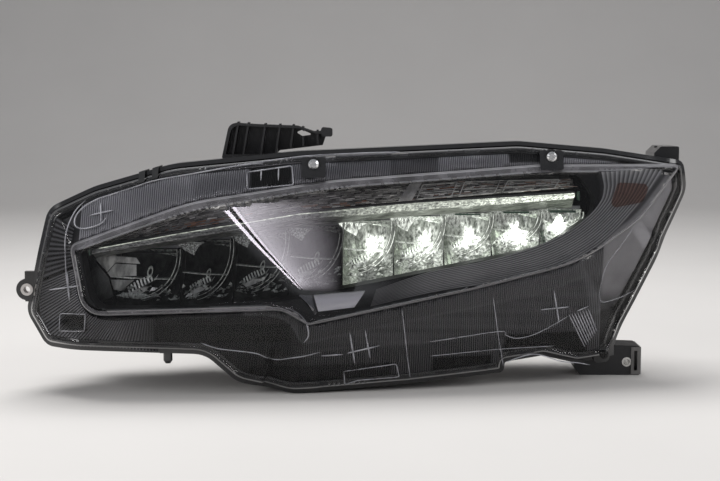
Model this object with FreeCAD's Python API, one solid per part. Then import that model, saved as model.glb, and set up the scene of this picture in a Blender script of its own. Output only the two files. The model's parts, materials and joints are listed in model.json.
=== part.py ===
"""Car headlight assembly, in millimetres.

Design frame: X runs from the inboard end to the outboard end, Y runs from the lens towards the back of the
lamp, and Z is up. The lamp stands on Z = 0. Every solid is moved by ORIGIN_SHIFT at the end, so that the
origin is the middle of the bounding box's underside.
"""
import FreeCAD, Part
import math
import os

V3 = FreeCAD.Vector
X_AXIS, Y_AXIS, Z_AXIS = V3(1, 0, 0), V3(0, 1, 0), V3(0, 0, 1)

# ---------------------------------------------------------------- driving dimensions
ORIGIN_SHIFT = V3(0.7, -112.9, 0.0)
LENS_WALL = 3.0            # clear polycarbonate
SHELL_WALL = 2.6           # black polypropylene
TRIM_WALL = 2.2            # inner trim
FAR = 420.0                # longer than the lamp is deep

# The styled face, which the bodywork leaves in view: x, z and corner radius.
FACE = [(-279, 150, 8), (-266, 84, 26), (-76, 88, 30), (-50, 73, 7), (110, 104, 300), (222, 129, 200),
        (284, 170, 120), (328, 223, 4), (180, 224, 300), (-30, 210, 500), (-165, 190, 260)]
# The outer edge of the housing, which the lens flange follows.
RIM = [(-307, 184, 22), (-332, 80, 18), (-309, 49, 16), (-152, 42, 28), (-122, 13, 34), (-70, 0, 60),
       (48, 6, 12), (146, 14, 5), (147, 25, 3), (186, 30, 14), (222, 20, 10), (259, 24, 15),
       (297, 104, 70), (340, 196, 26), (334, 227, 10), (250, 240, 90), (160, 248, 120), (-60, 239, 300),
       (-185, 227, 120), (-262, 205, 90)]
# The opening in the trim, through which the lamps are seen.
OPENING = [(-271, 144, 4), (-258, 88, 20), (-124, 89, 60), (-60, 98, 60), (186, 142, 60), (234, 172, 14),
           (238, 190, 14), (222, 214, 10), (100, 212, 300), (-60, 201, 300), (-160, 190, 200)]
# The turn signal chamber, along the top of the opening.
TURN = [(-255, 147.5, 2), (-176, 162, 200), (-60, 180, 200), (60, 189, 300), (213, 199, 4), (219, 210, 5),
        (100, 208.5, 300), (-60, 197.5, 300), (-160, 186.5, 200)]
# The daytime light guide, under the turn signal.
GUIDE = [(-262, 139.5, 1.5), (-176, 153, 200), (-60, 171.5, 200), (60, 180.5, 300), (216, 189.5, 2),
         (220, 195, 2), (60, 186.8, 300), (-60, 177.8, 300), (-176, 159.8, 200), (-262, 144.5, 1.5)]
# The bright blade in the trim, and the amber reflex panel at the outboard end.
BLADE = [(-46, 98, 1), (5, 104, 1), (-6, 90, 1), (-41, 86, 1)]
REFLEX = [(252, 180, 5), (288, 186, 5), (296, 204, 5), (262, 206, 5)]
# The second, deeper tier of the housing, at its foot and at its crown.
TIER_FOOT = [(-287, 58, 20), (-287, 155, 18), (-141, 161, 20), (-110, 206, 24), (256, 214, 20),
             (276, 190, 20), (276, 120, 30), (252, 74, 40), (120, 42, 30), (-130, 42, 30)]
TIER_CROWN = [(-278, 72, 18), (-278, 149, 16), (-133, 155, 18), (-103, 196, 20), (246, 202, 18),
              (265, 182, 18), (265, 124, 26), (240, 84, 34), (114, 54, 26), (-124, 54, 26)]
BACK_TURN = 6.8            # degrees that the back walls turn from the X axis
FIRST_BACK = 130.0         # Y of the first tier's back wall at X = 0
SECOND_DEPTH = 58.0        # how much further back the second tier goes

# The nine reflector cells: their edges along X. The inboard four are main beam, the rest are dipped beam.
CELL_EDGES = [-244, -180, -127, -72, -18, 34, 85, 134, 184, 228]
MAIN_BEAM_CELLS = 4
CELL_FRONT = 48.0          # from the lens face back to a reflector's front edge
CELL_FOCUS = 18.0
PIVOT_Y, PIVOT_Z = 125.0, 130.0
PIVOT_LEFT_X, PIVOT_RIGHT_X = -258.0, 250.0
ADJUST_X, ADJUST_Z = -30.0, 66.0
BALL_R = 5.0
TURN_BULB = (-176.0, 179.0)     # x and z of the bulb socket, in the back wall's frame
MARKER_BULB = (302.0, 196.0)
SOCKET_R = 11.0            # the bayonet hole in the back wall
ARM_PAD = (-140.0, -84.0, 84.0, 122.0, 231.0)    # x0, x1, y0, y1 and top, under the arm bracket
# The arm bracket's side, with the hook at its outboard end, and the gap under the hook's neck.
ARM = [(-140, 231, 1), (-132, 266.8, 9), (-104, 265, 30), (-63, 263.5, 12), (-47, 258, 4), (-40, 258, 1.5),
       (-38.5, 262, 2), (-28, 261, 3), (-28, 252.5, 2), (-35, 252.5, 1), (-38, 243.5, 1), (-84, 238, 6),
       (-84, 231, 1)]
ARM_GAP = [(-65, 256.6, 1), (-59, 259, 2), (-47.5, 254.2, 1), (-59, 252.8, 1.5)]
ARM_FRONT, ARM_BACK = 96.0, 112.0
ARM_WALL = 2.6
RIB_PROUD = 1.3            # how far the ribs stand above the wall
# Each rib's foot in x, and how far it leans outboard.
ARM_RIBS = [(-129.5, 7), (-119, 7), (-101, 6), (-86, 6), (-71.5, 5), (-57.5, 0), (-43, 0)]
TRIM_SCREWS = [(-45.6, 227.0), (192.0, 233.0)]
LENS_SCREW = (250.0, 30.0)
CLIP_X = [-214.0, -201.0]
CLIP_HALF = 3.0
EAR = (-329.5, 103.0)      # the inboard mounting ear
EAR_R = 10.8
TAB = (320.0, 164.0)       # x and y of the upper outboard mounting hole
TAB_FOOT, TAB_TOP = 219.0, 241.0
BRACKET = (226.0, 295.0, 134.0, 168.0)           # x0, x1, y0, y1 of the lower outboard bracket
BRACKET_STEP = 40.0        # from x0 to where the block steps up
LOWER_BOLT = (281.5, 14.0) # x and z of its hole
SLEEVE_R = 5.0             # the seats of the bolt sleeves and of the bush
PEG = (-189.0, 43.0)       # x of the locating peg, and z where it leaves its pad
PEG_R = 4.5
BOLT_R = 3.3               # clearance for a 6 mm bolt
BUSH_LENGTH = 11.0
FACE_HEAD_R = 5.0          # the heads of the screws through the lens flange

nodes = {}


# ---------------------------------------------------------------- surfaces
def face_y(x, z):
    """The lens face: it sweeps back outboard and leans back towards the top."""
    along = x + 280
    above = z - 130
    return 10 + 0.02 * along + 0.00017 * along ** 2 + 0.18 * above + 0.0005 * above ** 2


def outside(points, x, z):
    """How far (x, z) lies outside a closed outline, and the outward direction's X part. Zero inside."""
    best, best_nx, inside = 1e9, 0.0, False
    for i, (ax, az, _) in enumerate(points):
        bx, bz, _ = points[(i + 1) % len(points)]
        if (az > z) != (bz > z) and x < (bx - ax) * (z - az) / (bz - az) + ax:
            inside = not inside
        run = (bx - ax) ** 2 + (bz - az) ** 2
        t = max(0, min(1, ((x - ax) * (bx - ax) + (z - az) * (bz - az)) / run))
        dx, dz = x - ax - t * (bx - ax), z - az - t * (bz - az)
        d = math.hypot(dx, dz)
        if d < best:
            best, best_nx = d, dx / max(d, 1e-6)
    return (0.0, 0.0) if inside else (best, best_nx)


def shelf_y(x, z):
    """The lower skin round the styled face: it falls away steeply at the ends and gently above and below."""
    d, nx = outside(FACE, x, z)
    end_fall = 0.80 if nx > 0 else 0.36
    return face_y(x, z) + 5 + d * (0.32 + end_fall * nx ** 2)


def height_field(function, columns, rows):
    """A smooth face through a grid of points of Y = function(x, z), wider than the lamp."""
    x0, x1, z0, z1 = -390.0, 400.0, -50.0, 300.0
    grid = [[V3(x, function(x, z), z) for z in (z0 + (z1 - z0) * j / rows for j in range(rows + 1))]
            for x in (x0 + (x1 - x0) * i / columns for i in range(columns + 1))]
    surface = Part.BSplineSurface()
    surface.interpolate(grid)
    return surface.toShape()


FACE_SKIN = height_field(face_y, 6, 6)
SHELF_SKIN = height_field(shelf_y, 42, 20)


def slab(skin, front, back=FAR):
    """The space from front to back millimetres behind a skin."""
    moved = skin.copy()
    moved.translate(V3(0, front, 0))
    return moved.extrude(V3(0, back - front, 0))


# ---------------------------------------------------------------- outlines
def area(points):
    return sum(a[0] * b[1] - b[0] * a[1] for a, b in zip(points, points[1:] + points[:1])) / 2


def inset(points, d):
    """The outline moved inwards by d, or outwards where d is negative. Corner radii follow."""
    turn = 1 if area(points) > 0 else -1
    made = []
    for i, (x, z, r) in enumerate(points):
        before, after = points[i - 1], points[(i + 1) % len(points)]
        a = V3(x - before[0], 0, z - before[1]).normalize()
        b = V3(after[0] - x, 0, after[1] - z).normalize()
        inward_a, inward_b = V3(-a.z, 0, a.x) * turn, V3(-b.z, 0, b.x) * turn
        step = (inward_a + inward_b) * (d / (1 + inward_a.dot(inward_b)))
        convex = (a.x * b.z - a.z * b.x) * turn > 0
        made.append((x + step.x, z + step.z, max(1.0, r - d if convex else r + d)))
    return made


def outline(points, y=0.0):
    """A closed wire of straight runs and tangent arcs in the plane Y = y."""
    edges, ends = [], []
    n = len(points)
    for i, (x, z, r) in enumerate(points):
        p, a, b = V3(x, y, z), points[i - 1], points[(i + 1) % n]
        to_a, to_b = V3(a[0], y, a[1]) - p, V3(b[0], y, b[1]) - p
        room = 0.48 * min(to_a.Length, to_b.Length)
        to_a.normalize()
        to_b.normalize()
        half = math.acos(max(-1, min(1, to_a.dot(to_b)))) / 2
        reach = min(r / math.tan(half), room)
        radius = reach * math.tan(half)
        middle = to_a + to_b
        middle.normalize()
        tip = p + middle * (radius / math.sin(half) - radius)
        start, end = p + to_a * reach, p + to_b * reach
        ends.append((start, tip, end))
    for i, (start, tip, end) in enumerate(ends):
        edges.append(Part.Arc(start, tip, end).toShape())
        following = ends[(i + 1) % n][0]
        if (following - end).Length > 1e-4:
            edges.append(Part.LineSegment(end, following).toShape())
    return Part.Wire(edges)


def prism(points, y0=-60.0, y1=FAR):
    return Part.Face(outline(points, y0)).extrude(V3(0, y1 - y0, 0))


def ring(points, outer, inner):
    return prism(inset(points, outer)).cut(prism(inset(points, inner)))


# ---------------------------------------------------------------- small shapes
def block(x0, x1, y0, y1, z0, z1, r=0.0):
    made = Part.makeBox(x1 - x0, y1 - y0, z1 - z0, V3(x0, y0, z0))
    return made.makeFillet(r, made.Edges) if r else made


def rod(at, r, length, axis=Y_AXIS):
    return Part.makeCylinder(r, length, V3(*at), axis)


def tube(at, r_out, r_in, length, axis=Y_AXIS):
    return rod(at, r_out, length, axis).cut(rod(at, r_in, length, axis))


def turned(shape, axis, degrees, at):
    shape.rotate(V3(*at), axis, degrees)
    return shape


def fuse(shapes):
    made = shapes[0].multiFuse(shapes[1:])
    return made.removeSplitter()


def screw(at, direction, shank, length, head, thick):
    """A pan-head screw. at is the centre of the head's seat, and direction is the way that the shank goes."""
    crown = Part.makeCylinder(head, thick * 0.45)
    top = Part.makeCone(head, head * 0.62, thick * 0.55, V3(0, 0, thick * 0.45))
    made = crown.fuse(top).fuse(Part.makeCylinder(shank, length, V3(0, 0, -length)))
    for long, wide in ((head * 1.1, head * 0.22), (head * 0.22, head * 1.1)):
        made = made.cut(Part.makeBox(long, wide, thick, V3(-long / 2, -wide / 2, thick * 0.4)))
    turn = FreeCAD.Rotation(Z_AXIS, V3(*direction) * -1)
    made.Placement = FreeCAD.Placement(V3(*at), turn)
    return made


def back_turned(shape):
    """Turns a shape made square to Y into the back wall's frame, whose origin is (0, FIRST_BACK, 0)."""
    shape.rotate(V3(0, 0, 0), Z_AXIS, BACK_TURN)
    shape.translate(V3(0, FIRST_BACK, 0))
    return shape


def back_wall(x):
    """Y of the first tier's outer back wall at x."""
    return FIRST_BACK + x * math.tan(math.radians(BACK_TURN))


# ---------------------------------------------------------------- lens, trim and housing
LENS_EDGE = inset(RIM, 5)
SKIRT = 14.0               # how far the lens skirt reaches into the housing's channel


def two_level(window, edge, front_window, front_edge, back):
    """A raised face inside window, and a lower shelf out to edge, filled to back behind the shelf."""
    raised = prism(window).common(slab(FACE_SKIN, front_window))
    lower = prism(edge).common(slab(SHELF_SKIN, front_edge))
    return raised.fuse(lower).cut(slab(SHELF_SKIN, back, FAR + 50))


def face_holes(r):
    """Screw holes square to Y through the lens flange."""
    return [rod((x, 20, z), r, 160) for x, z in TRIM_SCREWS + [LENS_SCREW]]


def make_lens():
    outer = two_level(FACE, LENS_EDGE, 0, 0, SKIRT)
    inner = two_level(inset(FACE, LENS_WALL), inset(LENS_EDGE, LENS_WALL), LENS_WALL, LENS_WALL, 60)
    x, z = LENS_SCREW
    lug = prism([(x - 11, z - 11, 6), (x + 11, z - 11, 6), (x + 11, z + 11, 6), (x - 11, z + 11, 6)])
    lens = outer.cut(inner).fuse(lug.common(slab(SHELF_SKIN, -2.5, 3.8)))
    lens = lens.cut(rod((x, 50, z), 9.0, 90).common(slab(SHELF_SKIN, 3.9, 30)))
    nodes["outer_lens"] = lens.cut(Part.makeCompound(face_holes(2.3)))


def make_seal():
    bead = ring(RIM, 4.4, 10.6).common(slab(SHELF_SKIN, SKIRT + 0.2, 19.8))
    keep_out = [rod((x, 20, z), 4.4, 160) for x, z in TRIM_SCREWS]
    keep_out.append(rod((LENS_SCREW[0], 20, LENS_SCREW[1]), 9.0, 160))
    nodes["lens_seal"] = bead.cut(Part.makeCompound(keep_out))


def make_trim():
    front, back = 12.0, 12.0 + TRIM_WALL
    plate = two_level(inset(FACE, 5), inset(RIM, 24), front, 9, 9 + TRIM_WALL)
    plate = plate.common(prism(inset(RIM, 16)))
    plate = plate.cut(prism(inset(FACE, 5 + TRIM_WALL)).common(slab(FACE_SKIN, back)))
    throat = prism(inset(OPENING, -TRIM_WALL)).common(slab(FACE_SKIN, front, 38))
    window = prism(inset(REFLEX, 3))
    nodes["inner_trim"] = plate.fuse(throat).cut(prism(OPENING)).cut(window).removeSplitter()


def tier(foot, crown, wall=0.0):
    """The second tier of the housing, as a drafted block in the back wall's own frame."""
    start = -SHELL_WALL - 1 if wall else -1.0
    depth = SECOND_DEPTH - wall
    a, b = outline(inset(foot, wall), start), outline(inset(crown, wall), depth)
    return back_turned(Part.makeLoft([a, b], True, True))


def second_back(x):
    """Y of the second tier's outer back wall at x."""
    return back_wall(x) + SECOND_DEPTH / math.cos(math.radians(BACK_TURN))


def back_ribs():
    crown = back_turned(Part.makeLoft([outline(inset(TIER_CROWN, 7), SECOND_DEPTH - 2),
                                       outline(inset(TIER_CROWN, 7), SECOND_DEPTH + 9)], True, True))
    ribs = [Part.makeBox(2.2, 7.0, 200, V3(x, SECOND_DEPTH - 1, 40)) for x in (-262, -205, 40, 85, 185, 230)]
    ribs += [Part.makeBox(600, 5.0, 2.2, V3(-300, SECOND_DEPTH - 1, z)) for z in (124, 150)]
    return back_turned(fuse(ribs)).common(crown)


def make_tab():
    """The hollow upper outboard tab, with a round seat for its bolt sleeve."""
    x, y = TAB
    side = [(x - 13, 212, 1), (x + 13, 212, 1), (x + 13, TAB_TOP, 2), (x - 6, TAB_TOP, 2),
            (x - 13, TAB_TOP - 7, 2)]
    hollow = prism(inset(side, 3), y - 21, y + 17).fuse(block(x - 10, x + 10, y - 21, y + 17, 205, 217))
    seat = rod((x, y, TAB_FOOT), 8.5, TAB_TOP - TAB_FOOT, Z_AXIS)
    return prism(side, y - 24, y + 20).cut(hollow).fuse(seat)


def ear_front():
    """Y of the inboard ear's front."""
    return shelf_y(-322, EAR[1]) + 6


def pads():
    """Solid material added outside the shell, where something is fastened to it."""
    x0, x1, y0, y1, top = ARM_PAD
    bx0, _, _, by1 = BRACKET
    ex, ez = EAR
    front = ear_front()
    peg_y = shelf_y(PEG[0], 45) + 16
    lower = block(bx0 + 2, bx0 + BRACKET_STEP - 1, 100, by1, 24, 64).common(slab(SHELF_SKIN, 8))
    made = [block(x0, x1, y0, y1, 205, top), lower, make_tab()]
    made += [block(ex - 2, -306, front, front + 6, ez - 12, ez + 18), rod((ex, front, ez), EAR_R, 8)]
    made.append(rod((PEG[0], peg_y, PEG[1] - 8), PEG_R, 20, Z_AXIS))
    made.append(block(-196, -160, peg_y - 7, peg_y + 7, PEG[1], 50))
    made.append(Part.makeCone(PEG_R, PEG_R - 2, 3, V3(PEG[0], peg_y, PEG[1] - 8), Z_AXIS * -1))
    lx, lz = LENS_SCREW
    boss = [(lx - 9, lz - 11, 5), (lx + 9, lz - 11, 5), (lx + 9, lz + 9, 5), (lx - 9, lz + 9, 5)]
    made.append(prism(boss).common(slab(SHELF_SKIN, 4, 26)))
    return made


def trim_boss(x, z):
    at = shelf_y(x, z)
    return rod((x, at + 2, z), 4.0, 22).common(slab(SHELF_SKIN, 3.2, 24))


def bayonet_hole(x, z):
    hole = rod((x, -SHELL_WALL - 9, z), SOCKET_R, 30)
    notch = block(x - 3.2, x + 3.2, -SHELL_WALL - 9, 21, z - 14.2, z + 14.2)
    return back_turned(hole.fuse(turned(notch, Y_AXIS, 45, (x, 0, z))))


def make_housing():
    body = inset(RIM, 12)
    beyond = back_turned(Part.makeBox(1000, 400, 500, V3(-500, 0, -100)))
    beyond_inner = back_turned(Part.makeBox(1000, 400, 500, V3(-500, -SHELL_WALL, -100)))
    flange = prism(RIM).common(slab(SHELF_SKIN, 6, 26))
    first = prism(body).common(slab(SHELF_SKIN, 20)).cut(beyond)
    solid = flange.fuse(first).fuse(tier(TIER_FOOT, TIER_CROWN)).multiFuse(pads())
    hollow = prism(inset(RIM, 12 + SHELL_WALL)).common(slab(SHELF_SKIN, -20)).cut(beyond_inner)
    shell = solid.cut(hollow).cut(tier(TIER_FOOT, TIER_CROWN, SHELL_WALL))
    channel = ring(RIM, 4, 11).common(slab(SHELF_SKIN, 2, 20))
    lens_boss = rod((LENS_SCREW[0], 60, LENS_SCREW[1]), 8.6, 90).common(slab(SHELF_SKIN, 4, 20))
    shell = shell.cut(channel).fuse(lens_boss)
    bosses = []
    for x, y in ((PIVOT_LEFT_X, 146), (PIVOT_RIGHT_X, 160)):
        bosses.append(rod((x, y, PIVOT_Z), 7.0, second_back(x) - y - 1))
    return shell.multiFuse(bosses + [back_ribs()] + [trim_boss(x, z) for x, z in TRIM_SCREWS])


# ---------------------------------------------------------------- signal lamps, fixed inside
def make_signals():
    raised = [(x, z + 8, r) for x, z, r in TURN]
    lip = prism(inset(OPENING, -TRIM_WALL)).common(prism(raised)).common(slab(FACE_SKIN, 38, 40.2))
    tray = prism(TURN).common(slab(FACE_SKIN, 34, 54)).fuse(lip)
    tray = tray.cut(prism(inset(TURN, 1.8)).common(slab(FACE_SKIN, 30, 52)))
    x, z = TURN_BULB
    nodes["turn_reflector"] = tray.cut(back_turned(rod((x, -90, z), 9.5, 90)))
    nodes["turn_inner_lens"] = prism(inset(TURN, 0.6)).common(slab(FACE_SKIN, 29, 32))
    nodes["light_guide"] = prism(GUIDE).common(slab(FACE_SKIN, 20, 33))
    nodes["light_guide_holder"] = prism(inset(GUIDE, -1.7)).common(slab(FACE_SKIN, 33, 37))
    boards = [block(221.5, 223.1, 94, 104, 188, 197), block(-264.2, -262.6, 32, 40, 139, 145)]
    nodes["guide_led_boards"] = Part.makeCompound(boards)
    nodes["accent_blade"] = prism(BLADE).common(slab(FACE_SKIN, 6, 12))
    nodes["side_reflex"] = prism(REFLEX).common(slab(FACE_SKIN, 9.5, 12))


def make_bulb_socket(kind, place, glass_r, reach):
    """A twist-lock bulb holder, square to the back wall: its lugs sit inside and its flange outside."""
    x, z = place
    flange = rod((x, 1.9, z), 15.0, 3.0)
    barrel = tube((x, -13.9, z), SOCKET_R - 0.08, 7.0, 15.9)
    floor = rod((x, 1.0, z), SOCKET_R - 0.08, 2.0)
    lugs = block(x - 2.6, x + 2.6, -SHELL_WALL - 2.2, -SHELL_WALL - 0.1, z - 13.6, z + 13.6)
    lugs = lugs.cut(rod((x, -20, z), 8.0, 40))
    grip = block(x - 3.5, x + 3.5, 4.5, 17, z - 12.5, z + 12.5).fuse(rod((x, 4.5, z), 8.5, 8))
    nodes[f"{kind}_socket"] = back_turned(fuse([flange, barrel, floor, lugs, grip]))
    nodes[f"{kind}_socket_seal"] = back_turned(tube((x, 0.1, z), 14.4, SOCKET_R + 0.1, 1.8))
    tip = -reach + glass_r
    glass = rod((x, tip, z), glass_r, reach - glass_r - 14).fuse(Part.makeSphere(glass_r, V3(x, tip, z)))
    base = rod((x, -15, z), 6.6, 15.9)
    nodes[f"{kind}_bulb"] = back_turned(fuse([glass, base]))


# ---------------------------------------------------------------- the aimed lamp unit
def cell_top(x):
    return 168.5 + 0.085 * x - 0.00018 * x ** 2


def cell_bottom(x):
    return max(87.0, 89.5 + 0.17 * (x + 126)) + max(0.0, x - 180) * 0.25


def cells():
    """Each reflector cell's place: x0, x1, xc, front, vertex, top and bottom."""
    made = []
    for x0, x1 in zip(CELL_EDGES, CELL_EDGES[1:]):
        xc = (x0 + x1) / 2
        front = face_y(xc, 130) + CELL_FRONT
        top, bottom = cell_top(xc) - 2, cell_bottom(xc) + 2
        reach = math.hypot((x1 - x0) / 2, top - bottom)
        vertex = front + reach ** 2 / (4 * CELL_FOCUS)
        made.append({"x0": x0, "x1": x1, "xc": xc, "front": front, "vertex": vertex, "top": top,
                     "bottom": bottom})
    return made


def bowl(x, y, z, reach):
    """The space in front of a paraboloid whose vertex is at (x, y, z)."""
    points = [V3(x + r, y - r ** 2 / (4 * CELL_FOCUS), z) for r in (reach * i / 8 for i in range(9))]
    curve = Part.BSplineCurve()
    curve.interpolate(points)
    rim = V3(x, points[-1].y, z)
    edges = [curve.toShape()]
    edges += [Part.LineSegment(a, b).toShape() for a, b in ((points[-1], rim), (rim, points[0]))]
    return Part.Face(Part.Wire(edges)).revolve(V3(x, y, z), Y_AXIS, 360)


def make_reflectors():
    for number, c in enumerate(cells(), 1):
        axis_z = c["top"] - 3.2
        reach = math.hypot(c["x1"] - c["xc"], c["top"] - c["bottom"]) + 6
        shell = bowl(c["xc"], c["vertex"] + 2.2, axis_z, reach)
        shell = shell.cut(bowl(c["xc"], c["vertex"], axis_z, reach + 3))
        room = block(c["x0"] + 0.4, c["x1"] - 0.4, c["front"], c["vertex"] + 3, c["bottom"], axis_z)
        roof = block(c["x0"] + 0.4, c["x1"] - 0.4, c["front"], c["vertex"] + 2.2, axis_z, axis_z + 2.2)
        led_y = c["vertex"] - CELL_FOCUS
        hole = block(c["xc"] - 5, c["xc"] + 5, led_y - 5, led_y + 5, axis_z - 1, axis_z + 3)
        kind = "main" if number <= MAIN_BEAM_CELLS else "dipped"
        nodes[f"{kind}_reflector_{number}"] = shell.common(room).fuse(roof).cut(hole).removeSplitter()


def stepped(group, y0, y1, z_low, z_high):
    """Upright plates behind a run of cells, joined by webs where one cell stands behind the next."""
    pieces = []
    for c in group:
        pieces.append(block(c["x0"], c["x1"], c["vertex"] + y0, c["vertex"] + y1, z_low(c), z_high(c)))
    for a, b in zip(group, group[1:]):
        near, far = min(a["vertex"], b["vertex"]) + y0, max(a["vertex"], b["vertex"]) + y1
        pieces.append(block(a["x1"] - 1.5, a["x1"] + 1.5, near, far, max(z_low(a), z_low(b)),
                            min(z_high(a), z_high(b)) - 9))
    return pieces


def make_heat_sink(name, group):
    pieces = stepped(group, 5, 8, lambda c: c["bottom"] + 2, lambda c: c["top"] + 3.6)
    for c in group:
        roof = c["top"] + 1.1
        pieces.append(block(c["x0"], c["x1"], c["front"] + 16, c["vertex"] + 7, roof, roof + 2.5))
        for fin in (-14, -5, 5, 14):
            x = c["xc"] + fin
            y = c["vertex"] + 7
            pieces.append(block(x - 0.9, x + 0.9, y, y + 16, c["bottom"] + 5, c["top"] + 2))
    nodes[name] = fuse(pieces)


def make_led_parts(kind, group):
    boards, chips = [], []
    for c in group:
        led_y = c["vertex"] - CELL_FOCUS
        top = c["top"]
        boards.append(block(c["xc"] - 13, c["xc"] + 13, led_y - 11, led_y + 11, top - 0.8, top + 0.9))
        chips.append(block(c["xc"] - 2.5, c["xc"] + 2.5, led_y - 2.5, led_y + 2.5, top - 3.0, top - 0.8))
    nodes[f"{kind}_led_boards"] = Part.makeCompound(boards)
    nodes[f"{kind}_leds"] = Part.makeCompound(chips)


def make_carrier():
    group = cells()
    pieces = stepped(group, 26, 29, lambda c: c["bottom"] + 4, lambda c: c["top"] - 3)
    screws = []
    for number, c in enumerate(group):
        posts = [(c["xc"], c["bottom"] + 12)]
        if number % 2:
            posts = [(c["x0"] + 6, c["top"] - 12), (c["x1"] - 6, c["bottom"] + 14)]
        for x, z in posts:
            pieces.append(rod((x, c["vertex"] + 8, z), 3.6, 19))
            screws.append(screw((x, c["vertex"] + 29, z), (0, -1, 0), 1.5, 14, 3.4, 2.4))
    left, right, middle = group[0], group[-1], group[MAIN_BEAM_CELLS - 1]
    left_y, right_y, middle_y = left["vertex"] + 26, right["vertex"] + 26, middle["vertex"] + 26
    wing = PIVOT_RIGHT_X - 10
    pieces.append(block(PIVOT_LEFT_X - 9, left["x0"] + 6, left_y, left_y + 3, PIVOT_Z - 9, PIVOT_Z + 9))
    pieces.append(block(right["x0"], wing, right_y, right_y + 3, PIVOT_Z - 8, right["top"] - 8))
    pieces.append(block(wing - 5, wing, PIVOT_Y - 9, right_y + 3, PIVOT_Z - 8, PIVOT_Z + 8))
    leg_top = middle["bottom"] + 8
    pieces.append(block(ADJUST_X - 10, ADJUST_X + 10, middle_y, middle_y + 3, ADJUST_Z - 9, leg_top))
    frame = fuse(pieces)
    # The three sockets are nylon blocks with a round seat that a ball stud snaps into from behind.
    for name, x, z, back in (("pivot_socket_inboard", PIVOT_LEFT_X, PIVOT_Z, left_y - 0.1),
                             ("pivot_socket_outboard", PIVOT_RIGHT_X, PIVOT_Z, PIVOT_Y + 9),
                             ("adjuster_socket", ADJUST_X, ADJUST_Z, middle_y - 0.1)):
        seat = Part.makeSphere(BALL_R + 0.06, V3(x, PIVOT_Y, z))
        mouth = rod((x, PIVOT_Y, z), 4.4, 60)
        nodes[name] = block(x - 8.5, x + 8.5, PIVOT_Y - 8, back, z - 8.5, z + 8.5).cut(seat).cut(mouth)
        frame = frame.cut(mouth)
    nodes["carrier_screws"] = Part.makeCompound(screws)
    nodes["carrier_frame"] = frame.cut(nodes["carrier_screws"])


def ball_stud(x, z, end):
    return fuse([Part.makeSphere(BALL_R, V3(x, PIVOT_Y, z)), rod((x, PIVOT_Y, z), 3.0, end - PIVOT_Y)])


def make_adjuster():
    """The aiming screw, the crown gear that moves it, and the gearbox on the housing's back."""
    x, z = ADJUST_X, ADJUST_Z
    wall = tier(TIER_FOOT, TIER_CROWN)
    nodes["adjuster_screw"] = ball_stud(x, z, 212)
    gear = rod((x, 190, z), 12.0, 9.0).fuse(rod((x, 187.5, z), 6.0, 29))
    for i in range(24):
        tooth = block(x - 0.9, x + 0.9, 199, 201.5, z + 7.5, z + 12)
        gear = gear.fuse(turned(tooth, Y_AXIS, i * 15, (x, 0, z)))
    nodes["adjuster_gear"] = gear.cut(rod((x, 180, z), 3.05, 60))
    case = block(x - 22, x + 22, 170, 214, 48, 98, 0).cut(wall)
    case = case.cut(block(x - 17, x + 17, 189, 215, z - 14, z + 14))
    case = case.cut(rod((x, 150, z), 6.06, 60))
    case = case.fuse(rod((x, 205.5, 92), 6.4, 20, Z_AXIS)).cut(rod((x, 205.5, z + 8), 3.8, 60, Z_AXIS))
    corners = [(x + sx * 19, z0) for sx in (-1, 1) for z0 in (52, 94)]
    screws = [screw((cx, 217, cz), (0, -1, 0), 1.4, 12, 3.2, 2.2) for cx, cz in corners]
    holes = Part.makeCompound(screws)
    nodes["gearbox_case"] = case.cut(holes)
    cover = block(x - 22, x + 22, 214, 217, 48, 98).cut(holes)
    nodes["gearbox_cover"] = cover.cut(rod((x, 200, z), 6.06, 30.0))
    nodes["gearbox_screws"] = holes
    studs = [ball_stud(PIVOT_LEFT_X, PIVOT_Z, 150), ball_stud(PIVOT_RIGHT_X, PIVOT_Z, 166)]
    nodes["pivot_studs"] = Part.makeCompound(studs)


# ---------------------------------------------------------------- electrics on the outside
def make_electrics():
    case = block(-110, 40, 3, 60, 0, 36, 3.0)
    case = case.cut(block(-105, 35, 2, 50, 5, 31))
    for i in range(15):
        case = case.cut(block(-103 + i * 9.5, -98 + i * 9.5, 54, 61, -1, 37))
    for lug_x in (-115, 45):
        case = case.fuse(block(lug_x - 8, lug_x + 8, 3, 8, 18, 34))
    cover = block(-110, 40, 0, 3, 1, 35).fuse(block(-123, 53, 0, 3, 18, 34))
    screws = [screw((lug_x, 8, 26), (0, -1, 0), 1.9, 13, 4.2, 2.8) for lug_x in (-117, 47)]
    case = case.cut(Part.makeCompound(screws))
    cover = cover.cut(Part.makeCompound(screws))
    nodes["driver_case"] = back_turned(case)
    nodes["driver_cover"] = back_turned(cover)
    nodes["driver_screws"] = back_turned(Part.makeCompound(screws))
    deep = SECOND_DEPTH
    shroud = block(-176, -132, deep, deep + 26, 84, 110, 2.0)
    shroud = shroud.fuse(block(-182, -126, deep, deep + 3, 78, 116))
    shroud = shroud.cut(block(-173, -135, deep + 6, deep + 30, 87, 107))
    pins = [block(-169.8 + i * 5.2, -168.2 + i * 5.2, deep + 2, deep + 15, z, z + 1.6)
            for i in range(6) for z in (92.0, 100.0)]
    nodes["main_connector"] = back_turned(shroud.cut(Part.makeCompound(pins)))
    nodes["connector_pins"] = back_turned(Part.makeCompound(pins))
    vents = []
    for x, z in ((-232, 100), (130, 100)):
        cap = rod((x, deep, z), 9, 9).fuse(rod((x, deep, z), 5, 11))
        vents.append(cap.cut(rod((x, deep + 7, z), 3, 5)))
    nodes["vent_caps"] = back_turned(Part.makeCompound(vents))


# ---------------------------------------------------------------- brackets and fasteners
def rect(x0, x1, z0, z1, r=2.0):
    return [(x0, z0, r), (x1, z0, r), (x1, z1, r), (x0, z1, r)]


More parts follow.
